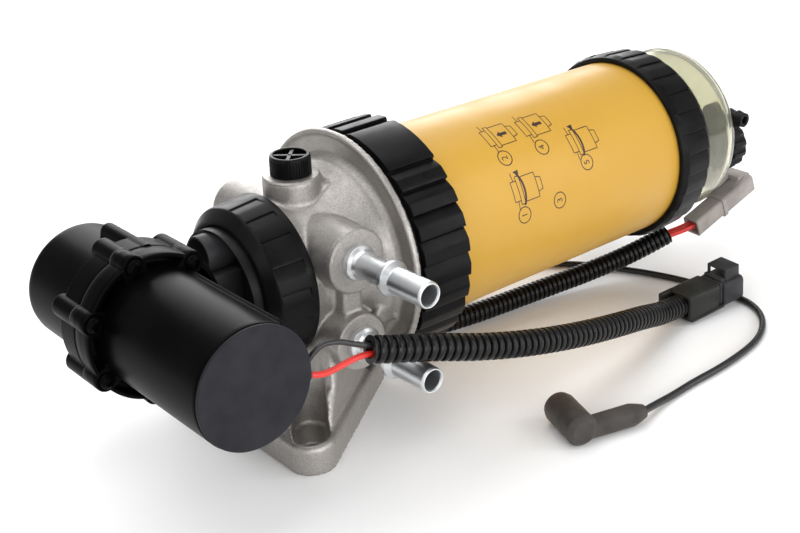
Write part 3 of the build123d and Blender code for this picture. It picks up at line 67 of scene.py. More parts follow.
def linear(code):
    """An sRGB hex colour as linear red, green, blue and alpha."""
    parts = [int(code[i:i + 2], 16) / 255 for i in (0, 2, 4)]
    return [p / 12.92 if p <= 0.04045 else ((p + 0.055) / 1.055) ** 2.4 for p in parts] + [1.0]


def add(tree, kind, settings=None, links=None):
    """Add one node; settings name its properties or sockets, links name its sockets and their sources."""
    node = tree.nodes.new(kind)
    for key, value in (settings or {}).items():
        if isinstance(key, str) and hasattr(node, key):
            setattr(node, key, value)
        else:
            node.inputs[key].default_value = value
    for key, source in (links or {}).items():
        tree.links.new(node.inputs[key], source)
    return node


def new_finish(name, colour, shader_settings):
    """A material whose one shader has this colour and these settings; gives the tree and shader too."""
    material = bpy.data.materials.new(name)
    material.use_nodes = True
    tree = material.node_tree
    tree.nodes.clear()
    shader = add(tree, "ShaderNodeBsdfPrincipled", {"Base Color": colour, **shader_settings})
    add(tree, "ShaderNodeOutputMaterial", links={"Surface": shader.outputs[0]})
    material.diffuse_color = colour
    return material, tree, shader


def mottle(tree, shader, dark, light, per_m, low=0.35, high=0.65, detail=4.0):
    """Colour that wanders between two tones: noise at this many cells a metre through a colour ramp.

    Gives the coordinates it used, for the other noises.
    """
    where = add(tree, "ShaderNodeTexCoord").outputs["Object"]
    noise = add(tree, "ShaderNodeTexNoise", {"Scale": per_m, "Detail": detail}, {"Vector": where})
    tones = add(tree, "ShaderNodeValToRGB", links={"Fac": noise.outputs[0]})
    for element, place, tone in zip(tones.color_ramp.elements, (low, high), (dark, light)):
        element.position = place
        element.color = tone
    tree.links.new(shader.inputs["Base Color"], tones.outputs[0])
    return where


def grain(tree, shader, where, under, grain_mm, height_mm, strength):
    """Bump over the one under it, if any: noise whose cells are grain_mm across and height_mm high."""
    noise = add(tree, "ShaderNodeTexNoise", {"Scale": 1.0 / (grain_mm * MM)}, {"Vector": where})
    links = {"Height": noise.outputs[0]}
    if under is not None:
        links["Normal"] = under
    bump = add(tree, "ShaderNodeBump", {"Distance": height_mm * MM, "Strength": strength}, links)
    tree.links.new(shader.inputs["Normal"], bump.outputs[0])
    return bump.outputs[0]


def uneven_gloss(tree, shader, where, per_m, low, high):
    """Roughness that wanders between low and high over the surface."""
    noise = add(tree, "ShaderNodeTexNoise", {"Scale": per_m, "Detail": 5.0}, {"Vector": where})
    spread = add(tree, "ShaderNodeMapRange",
                 {"From Min": 0.3, "From Max": 0.7, "To Min": low, "To Max": high},
                 {"Value": noise.outputs[0]})
    tree.links.new(shader.inputs["Roughness"], spread.outputs[0])


# Settings that a user would change

def colour_setting(name, description, code):
    """A colour in the panel's settings, given as sRGB hex."""
    return FloatVectorProperty(name=name, description=description, subtype="COLOR", size=4,
                               default=linear(code))


class FilterPumpColours(bpy.types.PropertyGroup):
    """Colours of the finishes."""
    casting: colour_setting("Casting", "Blasted aluminium of the head", "ABA7A3")
    enamel: colour_setting("Cartridge enamel", "Baked enamel on the steel shell", "C19639")
    nylon: colour_setting("Ring nylon", "Moulded nylon of the lock rings", "0B0B0C")
    coating: colour_setting("Pump coating", "Black coating on the pump and motor", "030303")
    bowl: colour_setting("Bowl", "Tint of the clear sediment bowl", "DDDCC7")
    zinc: colour_setting("Zinc plating", "Plated hose nipples", "DADCDD")
    sensor: colour_setting("Sensor plastic", "Moulded sensor and its plug", "8A8480")
    red: colour_setting("Red insulation", "Red leads", "DB2A20")


class FilterPumpSizes(bpy.types.PropertyGroup):
    """Sizes of the surface detail."""
    ridge_pitch: FloatProperty(name="Conduit ridge pitch", description="Distance between conduit ridges",
                               default=0.0045, unit="LENGTH")
    panels: IntProperty(name="Ring panels", default=30,
                        description="Grip panels around the head ring, three of them joined at the top")


# Finishes
#
# A kind of finish holds, in this order:
# - the shader's settings;
# - the factor that makes its second tone from its colour, one for all or one each for red, green and blue;
# - what is added to that tone;
# - the noise that mixes the two tones: cells a metre, its values where the mix starts and ends, its detail;
# - how its gloss wanders: cells a metre, and the least and most that is added to its roughness;
# - its grains: mm across, mm high and strength.

KINDS = {
    # sand casting, bead blasted: pale grey, no mirror, a fine sparkle and soft waviness
    "blasted": ({"Metallic": 0.85}, 0.74, 0, (1100, 0.3, 0.62, 3.0), (160, -0.04, 0.1),
                ((0.9, 0.07, 1.0), (6.0, 0.10, 0.5))),
    # glass-filled nylon from a lightly etched mould: satin, faintly pitted
    "moulded": ({"IOR": 1.48}, 1.3, 0.001, (90,), (120, -0.06, 0.08), ((0.5, 0.012, 1.0),)),
    # steel with a cured black coating: deep satin with soft highlights and slight orange peel
    "coated": ({"IOR": 1.46, "Coat Weight": 0.01, "Coat Roughness": 0.12}, 1.4, 0.001, (40,), None,
               ((1.6, 0.012, 0.7),)),
    # enamel baked on drawn steel: warm yellow, soft gloss, orange peel about 2 mm across
    "enamel": ({"IOR": 1.5, "Coat Weight": 0.1, "Coat Roughness": 0.25}, (0.97, 0.95, 0.9), 0, (14,),
               (60, -0.04, 0.08), ((2.2, 0.010, 0.6),)),
    # turned steel, zinc plated: bright, a little blurred, with a faintly uneven surface
    "zinc": ({"Metallic": 1.0}, (0.9, 0.91, 0.92), 0, (40,), (60, 0.07, 0.16), ((0.5, 0.004, 0.4),)),
    # bare machined metal: grey, softly blurred
    "metal": ({"Metallic": 1.0}, 0.8, 0, (200,), None, ((0.4, 0.006, 1.0),)),
    # clear moulded acrylic, thick walled, with a pale tint that deepens along the edges
    "acrylic": ({"IOR": 1.49, "Transmission Weight": 0.92}, 1.08, 0, (25,), None, ((9.0, 0.03, 0.5),)),
    # extruded insulation: even colour, waxy gloss, slight unevenness
    "insulation": ({"IOR": 1.53}, 0.88, 0, (160,), (200, -0.05, 0.1), ((1.0, 0.008, 0.5),)),
    # moulded rubber: charcoal with a brown sheen at grazing angles and a dusty, uneven surface
    "rubber": ({"IOR": 1.52, "Sheen Weight": 0.25, "Sheen Roughness": 0.5, "Sheen Tint": linear("A89B8C")},
               1.6, 0.004, (110,), (150, -0.1, 0.12), ((0.7, 0.02, 1.0),)),
    # plain dull materials with a fine grain, such as ferrite or carbon
    "dull": ({}, 0.82, 0, (150,), None, ((0.8, 0.03, 1.0),)),
    # pleated paper stiffened with resin: finer and rougher
    "paper": ({}, 0.82, 0, (150,), None, ((0.3, 0.05, 1.0),)),
}


def finish(kind, name, colour, rough, specular=None):
    """A material of one kind, colour and roughness; specular is its level where it isn't 0.5."""
    settings, factor, more, tones, wander, grains = KINDS[kind]
    settings = {"Roughness": rough, **settings}
    if specular is not None:
        settings["Specular IOR Level"] = specular
    material, tree, shader = new_finish(name, colour, settings)
    factors = np.broadcast_to(factor, 3).tolist()
    tone = [min(1, c * f + more) for c, f in zip(colour, factors)] + [1]
    dark, light = (tone, colour) if factors[0] < 1 else (colour, tone)
    where = mottle(tree, shader, dark, light, *tones)
    if wander:
        per_m, least, most = wander
        uneven_gloss(tree, shader, where, per_m, rough + least, rough + most)
    bump = None
    for grain_spec in grains:
        bump = grain(tree, shader, where, bump, *grain_spec)
    return material


def make_finishes():
    """Every material, by the name of the record's slot it finishes."""
    tint = bpy.context.scene.filter_pump_colours
    table = (  # slot, kind, material's name, colour, roughness, specular level
        ("cast_aluminium", "blasted", "blasted cast aluminium", tint.casting[:], 0.46),
        ("machined", "blasted", "milled cast aluminium", tint.casting[:], 0.46),
        ("black_nylon", "moulded", "moulded ring nylon", tint.nylon[:], 0.33, 0.11),
        ("black_plastic", "moulded", "moulded black plastic", linear("141414"), 0.4, 0.13),
        ("pump_black", "coated", "black coated steel", tint.coating[:], 0.34, 0.035),
        ("yellow_paint", "enamel", "baked yellow enamel", tint.enamel[:], 0.42, 0.3),
        ("plated_steel", "zinc", "zinc plated steel", tint.zinc[:], 0.26),
        ("tinned_steel", "metal", "tinned sheet steel", linear("BDBCB8"), 0.35),
        ("seal_rubber", "rubber", "nitrile seal rubber", linear("19191A"), 0.62),
        ("filter_paper", "paper", "resin treated filter paper", linear("D9C9A0"), 0.85),
        ("clear_bowl", "acrylic", "clear tinted acrylic", tint.bowl[:], 0.06),
        ("sensor_grey", "moulded", "moulded grey sensor plastic", tint.sensor[:], 0.42, 0.13),
        ("red_wire", "insulation", "red insulation", tint.red[:], 0.34),
        ("black_wire", "insulation", "black insulation", linear("18181A"), 0.3),
        ("conduit_black", "moulded", "corrugated conduit plastic", linear("0E0D0D"), 0.3, 0.26),
        ("boot_rubber", "rubber", "boot rubber", linear("262220"), 0.62),
        ("ferrite", "dull", "sintered ferrite", linear("3A3A3C"), 0.5),
        ("copper", "metal", "enamelled copper", linear("C47A45"), 0.3),
        ("carbon", "dull", "brush carbon", linear("2B2B2D"), 0.6),
        ("steel", "metal", "ground steel", linear("C9C9C8"), 0.22),
        ("print_ink", "insulation", "dark brown print", linear("33180C"), 0.5),
        ("motor_cap", "moulded", "slate end cap", linear("222226"), 0.62, 0.13),
        ("wire_seal", "rubber", "silicone wire seal", linear("6A2C22"), 0.5),
        ("connector_shell", "moulded", "moulded connector shell", linear("2C2C2E"), 0.45, 0.2),
        ("connector_body", "moulded", "moulded connector body", linear("232422"), 0.42, 0.18),
    )
    return {slot_name: finish(*rest) for slot_name, *rest in table}


def finish_named(slot_name):
    """The finish made for one slot of the record."""
    return bpy.data.materials[bpy.context.scene["filter_pump_finishes"][slot_name]]


# Surface helpers

def grid_faces(rows, cols, wrap_rows=False, wrap_cols=True):
    """Quads between neighbouring points of a grid, joined round where an edge wraps."""
    i = np.arange(rows if wrap_rows else rows - 1)
    j = np.arange(cols if wrap_cols else cols - 1)
    a, b = np.meshgrid(i, j, indexing="ij")
    c, d = (a + 1) % rows, (b + 1) % cols
    return np.stack([a * cols + b, c * cols + b, c * cols + d, a * cols + d], -1).reshape(-1, 4)


def surface(points, wrap_rows=False, wrap_cols=True):
    """Points (rows, cols, 3) in millimetres and their quads, ready to be joined with others."""
    rows, cols, _ = points.shape
    return points.reshape(-1, 3), grid_faces(rows, cols, wrap_rows, wrap_cols)


def joined_mesh(name, parts):
    """One mesh from surfaces in millimetres, each a pair of points and quads."""
    points, faces, start = [], [], 0
    for part_points, part_faces in parts:
        points.append(part_points)
        faces.append(part_faces + start)
        start += len(part_points)
    mesh = bpy.data.meshes.new(name)
    mesh.from_pydata((np.concatenate(points) * MM).tolist(), [], np.concatenate(faces).tolist())
    return mesh


def read_points(mesh, what="co"):
    """A mesh's vertex positions in metres, or its normals, as rows of three."""
    flat = np.zeros(len(mesh.vertices) * 3)
    mesh.vertices.foreach_get(what, flat)
    return flat.reshape(-1, 3)


def mesh_piece(name, parts, slot_name, body, nodes=(), sharp_deg=35.0):
    """One closed, smooth-shaded object from surfaces in millimetres, riding on a body."""
    mesh = joined_mesh(name, parts)
    work = bmesh.new()
    work.from_mesh(mesh)
    bmesh.ops.remove_doubles(work, verts=work.verts, dist=0.002 * MM)
    bmesh.ops.dissolve_degenerate(work, edges=work.edges, dist=1e-6)
    bmesh.ops.recalc_face_normals(work, faces=work.faces)
    work.to_mesh(mesh)
    work.free()
    return place_piece(name, mesh, slot_name, body, nodes, sharp_deg)


def linked(name, data):
    """A new object in the scene, at the origin, that holds this mesh, curve, lamp or camera."""
    made = bpy.data.objects.new(name, data)
    bpy.context.scene.collection.objects.link(made)
    return made


def place_piece(name, mesh, slot_name, body, nodes=(), sharp_deg=35.0):
    """Link a finished mesh at the origin, shade it, give it its finish and let it ride."""
    mesh.shade_smooth()
    mesh.set_sharp_from_angle(angle=radians(sharp_deg))
    piece = linked(name, mesh)
    piece.data.materials.append(finish_named(slot_name))
    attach(piece, body)
    if nodes:
        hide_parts(*nodes)
    return piece


def eased(corners, steps=5):
    """Closed outline with rounded corners: each corner (a, r, rounding) becomes an arc between its runs."""
    points = np.array([c[:2] for c in corners], float)
    outline = []
    for k, corner in enumerate(corners):
        before = points[k - 1] - points[k]
        after = points[(k + 1) % len(points)] - points[k]
        len_in, len_out = np.linalg.norm(before), np.linalg.norm(after)
        before, after = before / len_in, after / len_out
        half = np.arccos(np.clip(before @ after, -1, 1)) / 2
        if corner[2] <= 0 or abs(half - pi / 2) < 0.01:
            outline.append(points[k][None])
            continue
        reach = min(corner[2] / np.tan(half), 0.48 * len_in, 0.48 * len_out)
        t = np.linspace(0, 1, steps)[:, None]
        start, end = points[k] + before * reach, points[k] + after * reach
        outline.append((1 - t) ** 2 * start + 2 * t * (1 - t) * points[k] + t ** 2 * end)
    return np.concatenate(outline)


def ramp(value, edge, width):
    """0 below the edge, 1 above it, with an S-shaped rise that is width wide."""
    t = np.clip((value - edge) / width + 0.5, 0, 1)
    return t * t * (3 - 2 * t)


def turned(axis, outline, cols, centre=(0.0, AXIS_H)):
    """Outline of (place, radius) carried round a line along this axis; centre is where the line lies."""
    turn = np.linspace(0, tau, cols, endpoint=False)
    place = np.repeat(outline[:, :1], cols, axis=1)
    a, b = centre
    s, c = outline[:, 1:] * np.sin(turn), outline[:, 1:] * np.cos(turn)
    ways = {"X": (place, a - s, b + c), "Y": (a + s, place, b + c), "Z": (a + c, b + s, place)}
    return np.stack(ways[axis], -1)


def rounded_box(low, high, radius, steps=4):
    """Closed box with rounded edges: rings of a rounded rectangle in Y and Z, pulled in at both X ends."""
    low, high = np.array(low, float), np.array(high, float)
    half = (high - low) / 2 - radius
    middle = (high + low) / 2
    arc = np.linspace(0, pi / 2, steps)
    quarter = [(1, 1, 0), (-1, 1, pi / 2), (-1, -1, pi), (1, -1, 3 * pi / 2)]
    ring_y = np.concatenate([sy * half[1] + 0 * arc for sy, sz, a in quarter])
    ring_z = np.concatenate([sz * half[2] + 0 * arc for sy, sz, a in quarter])
    out_y = np.concatenate([np.cos(arc + a) for sy, sz, a in quarter])
    out_z = np.concatenate([np.sin(arc + a) for sy, sz, a in quarter])
    rows = []
    for side in (-1, 1):
        for v in (arc[::-1] if side < 0 else arc):
            x = middle[0] + side * (half[0] + radius * sin(v))
            rows.append(np.stack([np.full_like(ring_y, x), middle[1] + ring_y + radius * cos(v) * out_y,
                                  middle[2] + ring_z + radius * cos(v) * out_z], -1))
    ends = [np.broadcast_to((r[0, 0], middle[1], middle[2]), r.shape) for r in (rows[0], rows[-1])]
    return surface(np.stack([ends[0], *rows, ends[1]]))


def node_copy(name, join_deg=0.6):
    """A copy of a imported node's mesh with its loose triangles merged and flat faces joined."""
    mesh = frame["nodes"][name].data.copy()
    mesh.materials.clear()
    work = bmesh.new()
    work.from_mesh(mesh)
    bmesh.ops.remove_doubles(work, verts=work.verts, dist=2e-6)
    if join_deg:
        bmesh.ops.dissolve_limit(work, angle_limit=radians(join_deg), verts=work.verts, edges=work.edges)
    work.to_mesh(mesh)
    work.free()
    return mesh


def with_modifiers(mesh, modifiers):
    """The mesh after a list of (kind, settings) modifiers has been applied."""
    holder = linked("work", mesh)
    for kind, settings in modifiers:
        modifier = holder.modifiers.new(kind, kind)
        for key, value in settings.items():
            setattr(modifier, key, value)
    graph = bpy.context.evaluated_depsgraph_get()
    result = bpy.data.meshes.new_from_object(holder.evaluated_get(graph))
    bpy.data.objects.remove(holder)
    return result


def eased_node(node, slot_name, body, width_mm):
    """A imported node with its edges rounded, standing for the node."""
    mesh = with_modifiers(node_copy(node), [("BEVEL", {
        "width": width_mm * MM, "segments": 2, "limit_method": "ANGLE",
        "angle_limit": radians(28), "use_clamp_overlap": True, "miter_outer": "MITER_ARC"})])
    return place_piece(node + "_shape", mesh, slot_name, body, (node,), sharp_deg=40)


# Cord routes, in millimetres, as in the solid model

MOTOR_CONDUIT = [
    (8, -93.4, 79.2), (22, -97.2, 75.8), (40, -101.4, 71.6), (63, -104.8, 64), (90, -107, 56.2),
    (119, -106.5, 48.3), (149, -103.3, 40.2), (180, -98, 32), (208, -91.3, 24),
    (233, -84, 14.6), (256.5, -79, 10.5)]
RED_START = [(-23.5, -85, 75), (-17.5, -87.5, 72.4), (-8, -90, 74.6), (0, -91.6, 76.8)]
BLACK_START = [(-23.5, -85, 79.6), (-17.5, -87, 88.4), (-8, -89.4, 88.2), (0, -91.4, 84.4)]
SENSOR_CONDUIT = [
    (138, 9.5, 7.4), (160, 6, 6.9), (186, 3.6, 6.8), (216, 0.6, 7.2), (247, -4.6, 8.6),
    (278.5, -10.6, 12), (300, -15.4, 16.4), (312.5, -20.5, 21.6)]
SENSOR_LEAD_END = [(322, -27.5, 25.2), (330.4, -31.7, 29.2)]
BOOT_LEAD = [
    (138, 21, 7), (150, 23.5, 4), (172, 30, 2.1), (200, 38, 2.1), (226, 42, 2.1), (248, 38.5, 2.1),
    (262, 26, 2.1), (274, 11, 2.1), (283, -6.6, 2.1), (291, -25, 2.1), (297.5, -44, 2.1),
    (300.5, -63, 2.1), (303, -83, 2.1), (300.5, -99, 2.1), (292.5, -111.5, 2.1), (280.5, -121.5, 2.1),
    (265, -128.8, 2.1), (246, -132.6, 2.1), (222, -134.8, 2.1), (200, -134.6, 2.1), (180, -136, 2.1),
    (166, -137.6, 3.8), (151, -140.6, 6.4)]
WIRE_SPREAD = 1.9
LEAD_ENDS = {
    "red_lead": ["power_connector_pins"], "black_lead": ["power_connector_pins"],
    "motor_conduit": ["power_connector_pins", "power_connector_latch"],
    "sensor_lead_near": ["harness_splice"], "sensor_lead_far": ["harness_splice"],
    "sensor_conduit": ["harness_splice"], "boot_lead": ["elbow_boot"],
}


def shifted(points, offset):
    """A route moved sideways as a whole."""
    return [tuple(p + o for p, o in zip(point, offset)) for point in points]


def cord_curve(name, points, radius_mm, resolution=8):
    """A curve of one smooth NURBS spline whose control points are the route's points."""
    curve = bpy.data.curves.new(name, "CURVE")
    curve.dimensions = "3D"
    curve.resolution_u = resolution
    spline = curve.splines.new("NURBS")
    spline.points.add(len(points) - 1)
    for control, point in zip(spline.points, points):
        control.co = (*(p * MM for p in point), 1.0)
    spline.order_u = 3
    spline.use_endpoint_u = True
    curve.bevel_depth = radius_mm * MM
    curve.bevel_resolution = 5
    curve.use_fill_caps = True
    return curve


def spline_line(points, resolution=24):
    """Points along the route's own NURBS spline, in millimetres, read from a curve with no bevel."""
    curve = cord_curve("route", points, 0.0, resolution)
    holder = linked("route", curve)
    bpy.context.view_layer.update()
    line_mesh = bpy.data.meshes.new_from_object(holder)
    flat = read_points(line_mesh)
    bpy.data.objects.remove(holder)
    bpy.data.curves.remove(curve)
    bpy.data.meshes.remove(line_mesh)
    return flat / MM


def along(line, step_mm):
    """Even points along a line with their unit directions and distances from its start."""
    runs = np.linalg.norm(np.diff(line, axis=0), axis=1)
    far = np.concatenate([[0], np.cumsum(runs)])
    count = max(2, int(round(far[-1] / step_mm)) + 1)
    at = np.linspace(0, far[-1], count)
    spots = np.stack([np.interp(at, far, line[:, k]) for k in range(3)], -1)
    heading = np.gradient(spots, at, axis=0)
    heading /= np.linalg.norm(heading, axis=1, keepdims=True)
    return spots, heading, at


def tube_points(spots, heading, radii, cols):
    """Rings round a line: each point is the spot plus radius times a turning unit vector square to it."""
    side = np.cross(heading, (0.0, 0.0, 1.0))
    side /= np.linalg.norm(side, axis=1, keepdims=True)
    top = np.cross(side, heading)
    turn = np.linspace(0, tau, cols, endpoint=False)
    ring = side[:, None] * np.cos(turn)[None, :, None] + top[:, None] * np.sin(turn)[None, :, None]
    return spots[:, None] + ring * radii[:, None, None]


def ridged_tube(line, pitch_mm, outer_mm, depth_mm, bore_mm):
    """Corrugated tube: once a pitch the radius drops into a narrow groove between wide, rounded crests."""
    spots, heading, at = along(line, pitch_mm / 16)
    way = np.abs((at / pitch_mm) % 1 - 0.5) * 2
    groove = 1 - ramp(way, 0.34, 0.12)
    outside = tube_points(spots, heading, outer_mm - depth_mm * groove - 0.7 * (1 - way) ** 2, 24)
    few, few_heading, few_at = along(line, pitch_mm)
    inside = tube_points(few, few_heading, np.full(len(few_at), bore_mm), 24)
    return surface(np.concatenate([outside, inside[::-1]]), wrap_rows=True)


class FILTERPUMP_OT_cords(bpy.types.Operator):
    """Leads and corrugated conduits on their routes"""
    bl_idname = "filter_pump.cords"
    bl_label = "Leads and conduits"

    def execute(self, context):
        pitch = context.scene.filter_pump_sizes.ridge_pitch / MM
        wires = (  # name, route, radius in mm, finish, node, what its free end goes to
            ("red_lead_wire", RED_START + shifted(MOTOR_CONDUIT, (0, 0, -WIRE_SPREAD)),
             1.55, "red_wire", "red_lead", "connector"),
            ("black_lead_wire", BLACK_START + shifted(MOTOR_CONDUIT, (0, 0, WIRE_SPREAD)),
             1.4, "black_wire", "black_lead", "connector"),
            ("sensor_wire_near", shifted(SENSOR_CONDUIT + SENSOR_LEAD_END, (0, -WIRE_SPREAD, 0)),
             1.8, "red_wire", "sensor_lead_near", "fitting"),
            ("sensor_wire_far", shifted(SENSOR_CONDUIT + SENSOR_LEAD_END, (0, WIRE_SPREAD, 0)),
             1.8, "red_wire", "sensor_lead_far", "fitting"),
            ("boot_wire", BOOT_LEAD, 2.0, "black_wire", "boot_lead", "connector"),
        )
        for name, route, radius, slot_name, node, far_end in wires:
            curve = cord_curve(name, route, radius)
            piece = linked(name, curve)
            curve.materials.append(finish_named(slot_name))
            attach(piece, "main")
            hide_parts(node)
            self.length(spline_line(route))
        tubes = (  # name, route, ridge pitch, outer radius, groove depth, bore radius, node, free end
            ("motor_conduit_tube", MOTOR_CONDUIT, pitch, 7.0, 1.5, 4.4,
             "motor_conduit", "connector"),
            ("sensor_conduit_tube", SENSOR_CONDUIT, pitch * 0.8, 6.4, 1.0, 4.2,
             "sensor_conduit", "fitting"),
        )
        for name, route, step, outer, depth, bore, node, far_end in tubes:
            line = spline_line(route)
            piece = mesh_piece(name, [ridged_tube(line, step, outer, depth, bore)], "conduit_black", "main",
                               (node,))
        return {"FINISHED"}

    def length(self, line):
        """How long a line in millimetres is, in metres."""
        return float(np.linalg.norm(np.diff(line, axis=0), axis=1).sum() * MM)

    def carried(self, node):
        """The pieces at a cord's free end."""
        return [bpy.data.objects[end + "_shape"] for end in LEAD_ENDS[node]]


class FILTERPUMP_OT_finishes(bpy.types.Operator):
    """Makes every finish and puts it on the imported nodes"""
    bl_idname = "filter_pump.finishes"
    bl_label = "Finishes"

    def execute(self, context):
        made = make_finishes()
        context.scene["filter_pump_finishes"] = {slot: material.name for slot, material in made.items()}
        slots = [entry["slot"] for entry in frame["record"]["materials"]]
        for name, node in frame["nodes"].items():
            for holder in node.material_slots:
                old = holder.material.name.split(".")[0] if holder.material else ""
                if old not in slots:
                    raise RuntimeError(f"no slot for {name}: {old}")
                holder.material = made[old]
        return {"FINISHED"}


CASTING_VOXEL = 1.15  # fine enough for the bosses' edges, coarse enough to round inside corners
FLANGE_FACE = (59.5, 63.2)  # the flange's face lies between these x
FLANGE_BAND = (53.2, 63.6)  # inner and outer radius of its sunk band
FLANGE_RIM = 64.2  # its raised edge lies outside this radius
BAND_DEPTH, RIM_LIFT, BAND_SLOPE = 1.0, 0.35, 1.2


class FILTERPUMP_OT_casting(bpy.types.Operator):
    """Head casting with the soft inside corners of a sand casting, and its machined faces"""
    bl_idname = "filter_pump.casting"
    bl_label = "Head casting"

    def execute(self, context):
        joined = bmesh.new()
        joined.from_mesh(node_copy("filter_head", 0))
        joined.from_mesh(joined_mesh("stop block", [rounded_box((50, -47, 59), (62.5, -40, 68.5), 0.6)]))
        mesh = bpy.data.meshes.new("head_casting")
        joined.to_mesh(mesh)
        joined.free()
        mesh = with_modifiers(mesh, [
            ("REMESH", {"mode": "VOXEL", "voxel_size": CASTING_VOXEL * MM, "adaptivity": 0.0}),
            ("SMOOTH", {"factor": 0.5, "iterations": 4})])
        self.crisp_flange(mesh)
        place_piece("head_casting", mesh, "cast_aluminium", "main", ("filter_head",), sharp_deg=180)
        parts = []
        for z, r in ((UPPER_PORT_H, 17.1), (LOWER_PORT_H, 15.5)):
            face = eased([(-52.12, 8.1, 0.2), (-52.12, r - 1.0, 0.2), (-51.3, r - 0.1, 0.3),
                          (-47, r - 0.5, 0), (-47, 8.1, 0)], 4)
            parts.append(surface(turned("Y", face, 96, (PORT_X, z)), wrap_rows=True))
        face = eased([(135.5, 7.2, 0.2), (135.5, 14.3, 0.2), (134.7, 15.1, 0.3), (130, 14.7, 0),
                      (130, 7.2, 0)], 4)
        parts.append(surface(turned("Z", face, 96, (PORT_X, 0.0)), wrap_rows=True))
        mesh_piece("machined_faces", parts, "machined", "main", sharp_deg=30)
        return {"FINISHED"}

    def crisp_flange(self, mesh):
        """Moves points of the flange's face along X by their radius: a sunk band inside a raised edge."""
        points = read_points(mesh) / MM
        normals = read_points(mesh, "normal")
        r = np.hypot(points[:, 1], points[:, 2] - AXIS_H)
        x = points[:, 0]
        face = (x > FLANGE_FACE[0]) & (x < FLANGE_FACE[1]) & (normals[:, 0] < -0.6)
        band = ramp(r, FLANGE_BAND[0], BAND_SLOPE) * (1 - ramp(r, FLANGE_BAND[1], BAND_SLOPE))
        points[:, 0] += face * (BAND_DEPTH * band - RIM_LIFT * ramp(r, FLANGE_RIM, BAND_SLOPE))
        mesh.vertices.foreach_set("co", (points * MM).reshape(-1))
        mesh.update()


def leaning_ring(name, node, body, corners, panels, step, zone, crest, slope=0.0, joined=1,
                 first_deg=0.0):
    """Grip ring: each panel starts one step low, climbs to its crest by mid-panel and ends in a sharp drop.

    The outline's corners (x, radius, rounding) are carried round the axis. Where it lies between the two x
    of the zone, and within reach of the crest's radius, which grows by the slope along X, it loses the
    panel's lean at that angle. The first panel is as wide as several joined ones.
    """
    outline = eased(corners, 6)
    # columns of points: close together at the panel's low start and at its drop, four between
    width = tau / panels
    starts = np.concatenate([[0], np.arange(joined, panels)]) * width
    ends = np.append(starts[1:], tau)
    early = np.array([0, 0.012, 0.035, 0.07, 0.22, 0.37, 0.47, 0.52])
    late = np.array([0.07, 0.025, 0.01])
    middle = np.linspace(0, 1, 6)[1:-1]
    first, last = starts + early[-1] * width, ends - late[0] * width
    turn = np.concatenate([starts[:, None] + early * width,
                           first[:, None] + middle * (last - first)[:, None],
                           ends[:, None] - late * width], axis=1).reshape(-1) + radians(first_deg)
    # how far each column lies below the crest, in steps
    lean = np.array([1.15, 1.2, 1.05, 0.93, 0.6, 0.27, 0.05, 0, 0, 0, 0, 0, 0, 0.05, 0.16]) * step
    drop = np.tile(lean, len(starts))
    x, r = outline[:, :1], outline[:, 1:]
    top = crest + slope * (x - zone[0])
    inside = (x > zone[0] - 0.01) & (x < zone[1] + 0.01)
    share = np.clip((r - (top - 2.2 * step)) / (1.4 * step), 0, 1) * inside
    radius = r - share * drop[None, :]
    points = np.stack([x + 0 * radius, -radius * np.sin(turn), AXIS_H + radius * np.cos(turn)], -1)
    return mesh_piece(name, [surface(points, wrap_rows=True)], "black_nylon", body, (node,), sharp_deg=20)


class FILTERPUMP_OT_rings(bpy.types.Operator):
    """The three lock rings with their leaning grip panels"""
    bl_idname = "filter_pump.rings"
    bl_label = "Lock rings"

    def execute(self, context):
        panels = context.scene.filter_pump_sizes.panels
        leaning_ring("head_ring_grips", "head_lock_ring", "head_ring", [
            (65.1, 57.9, 0.3), (65.1, 61.0, 0.6), (68.8, 61.0, 0.3), (69.2, 64.8, 0.5), (99.4, 65.2, 0.5),
            (99.8, 62.0, 0.3), (99.8, 55.0, 0.4), (91.3, 55.0, 0.2), (91.3, 57.9, 0.2)],
            panels, 2.3, (68.9, 99.7), 64.8, 0.013, joined=3)
        leaning_ring("bowl_ring_grips", "bowl_lock_ring", "bowl_ring", [
            (278.9, 55.2, 0.3), (278.9, 57.6, 1.4), (283.6, 59.2, 1.2), (303.4, 58.2, 1.6),
            (308.1, 54.9, 0.8), (308.1, 53.5, 0.3), (302.1, 53.5, 0.2), (302.1, 56.6, 0.2),
            (279.9, 56.6, 0.2), (279.9, 55.2, 0.2)],
            28, 0.8, (283.0, 304.4), 59.2, -0.05, first_deg=4.9)
        leaning_ring("pump_ring_grips", "pump_lock_ring", "pump_ring", [
            (-9.7, 33.5, 0.8), (-9.7, 36.0, 2.6), (-4.4, 41.7, 3.4), (12.2, 43.4, 0.1),
            (12.6, 43.45, 0.1), (16.6, 43.9, 0.9), (16.6, 39.2, 0.4), (-5.3, 39.2, 0.2), (-5.3, 33.5, 0.4)],
            18, 0.7, (-4.0, 12.3), 41.8, 0.101, joined=2, first_deg=-40)
        return {"FINISHED"}


PRINT_R = CAN_R + 0.06  # the print lies just over the enamel
CIRCLE_R, DIGIT_SIZE, DIAGRAM_SCALE = 4.5, 6.0, 1.4
NUMBER_PLACES = (("1", 149.7, 9.2), ("2", 149.3, 44.4), ("3", 177.2, 10.0), ("4", 177.1, 43.3),
                 ("5", 203.7, 25.8))  # digit, place along the shell, degrees up from its near side
DIAGRAM_PLACES = (("turn", 154.5, 23.9), ("lift", 155.2, 59.7), ("lift", 181.4, 58.6),
                  ("turn", 206.7, 39.2))


def on_can(flat, x0, angle_deg):
    """Flat print (right, up) wrapped on the shell: up runs to the head, right runs up the near side."""
    angle = radians(angle_deg) + flat[:, 0] / PRINT_R
    return np.stack([x0 - flat[:, 1], -PRINT_R * np.cos(angle), AXIS_H + PRINT_R * np.sin(angle)], -1)


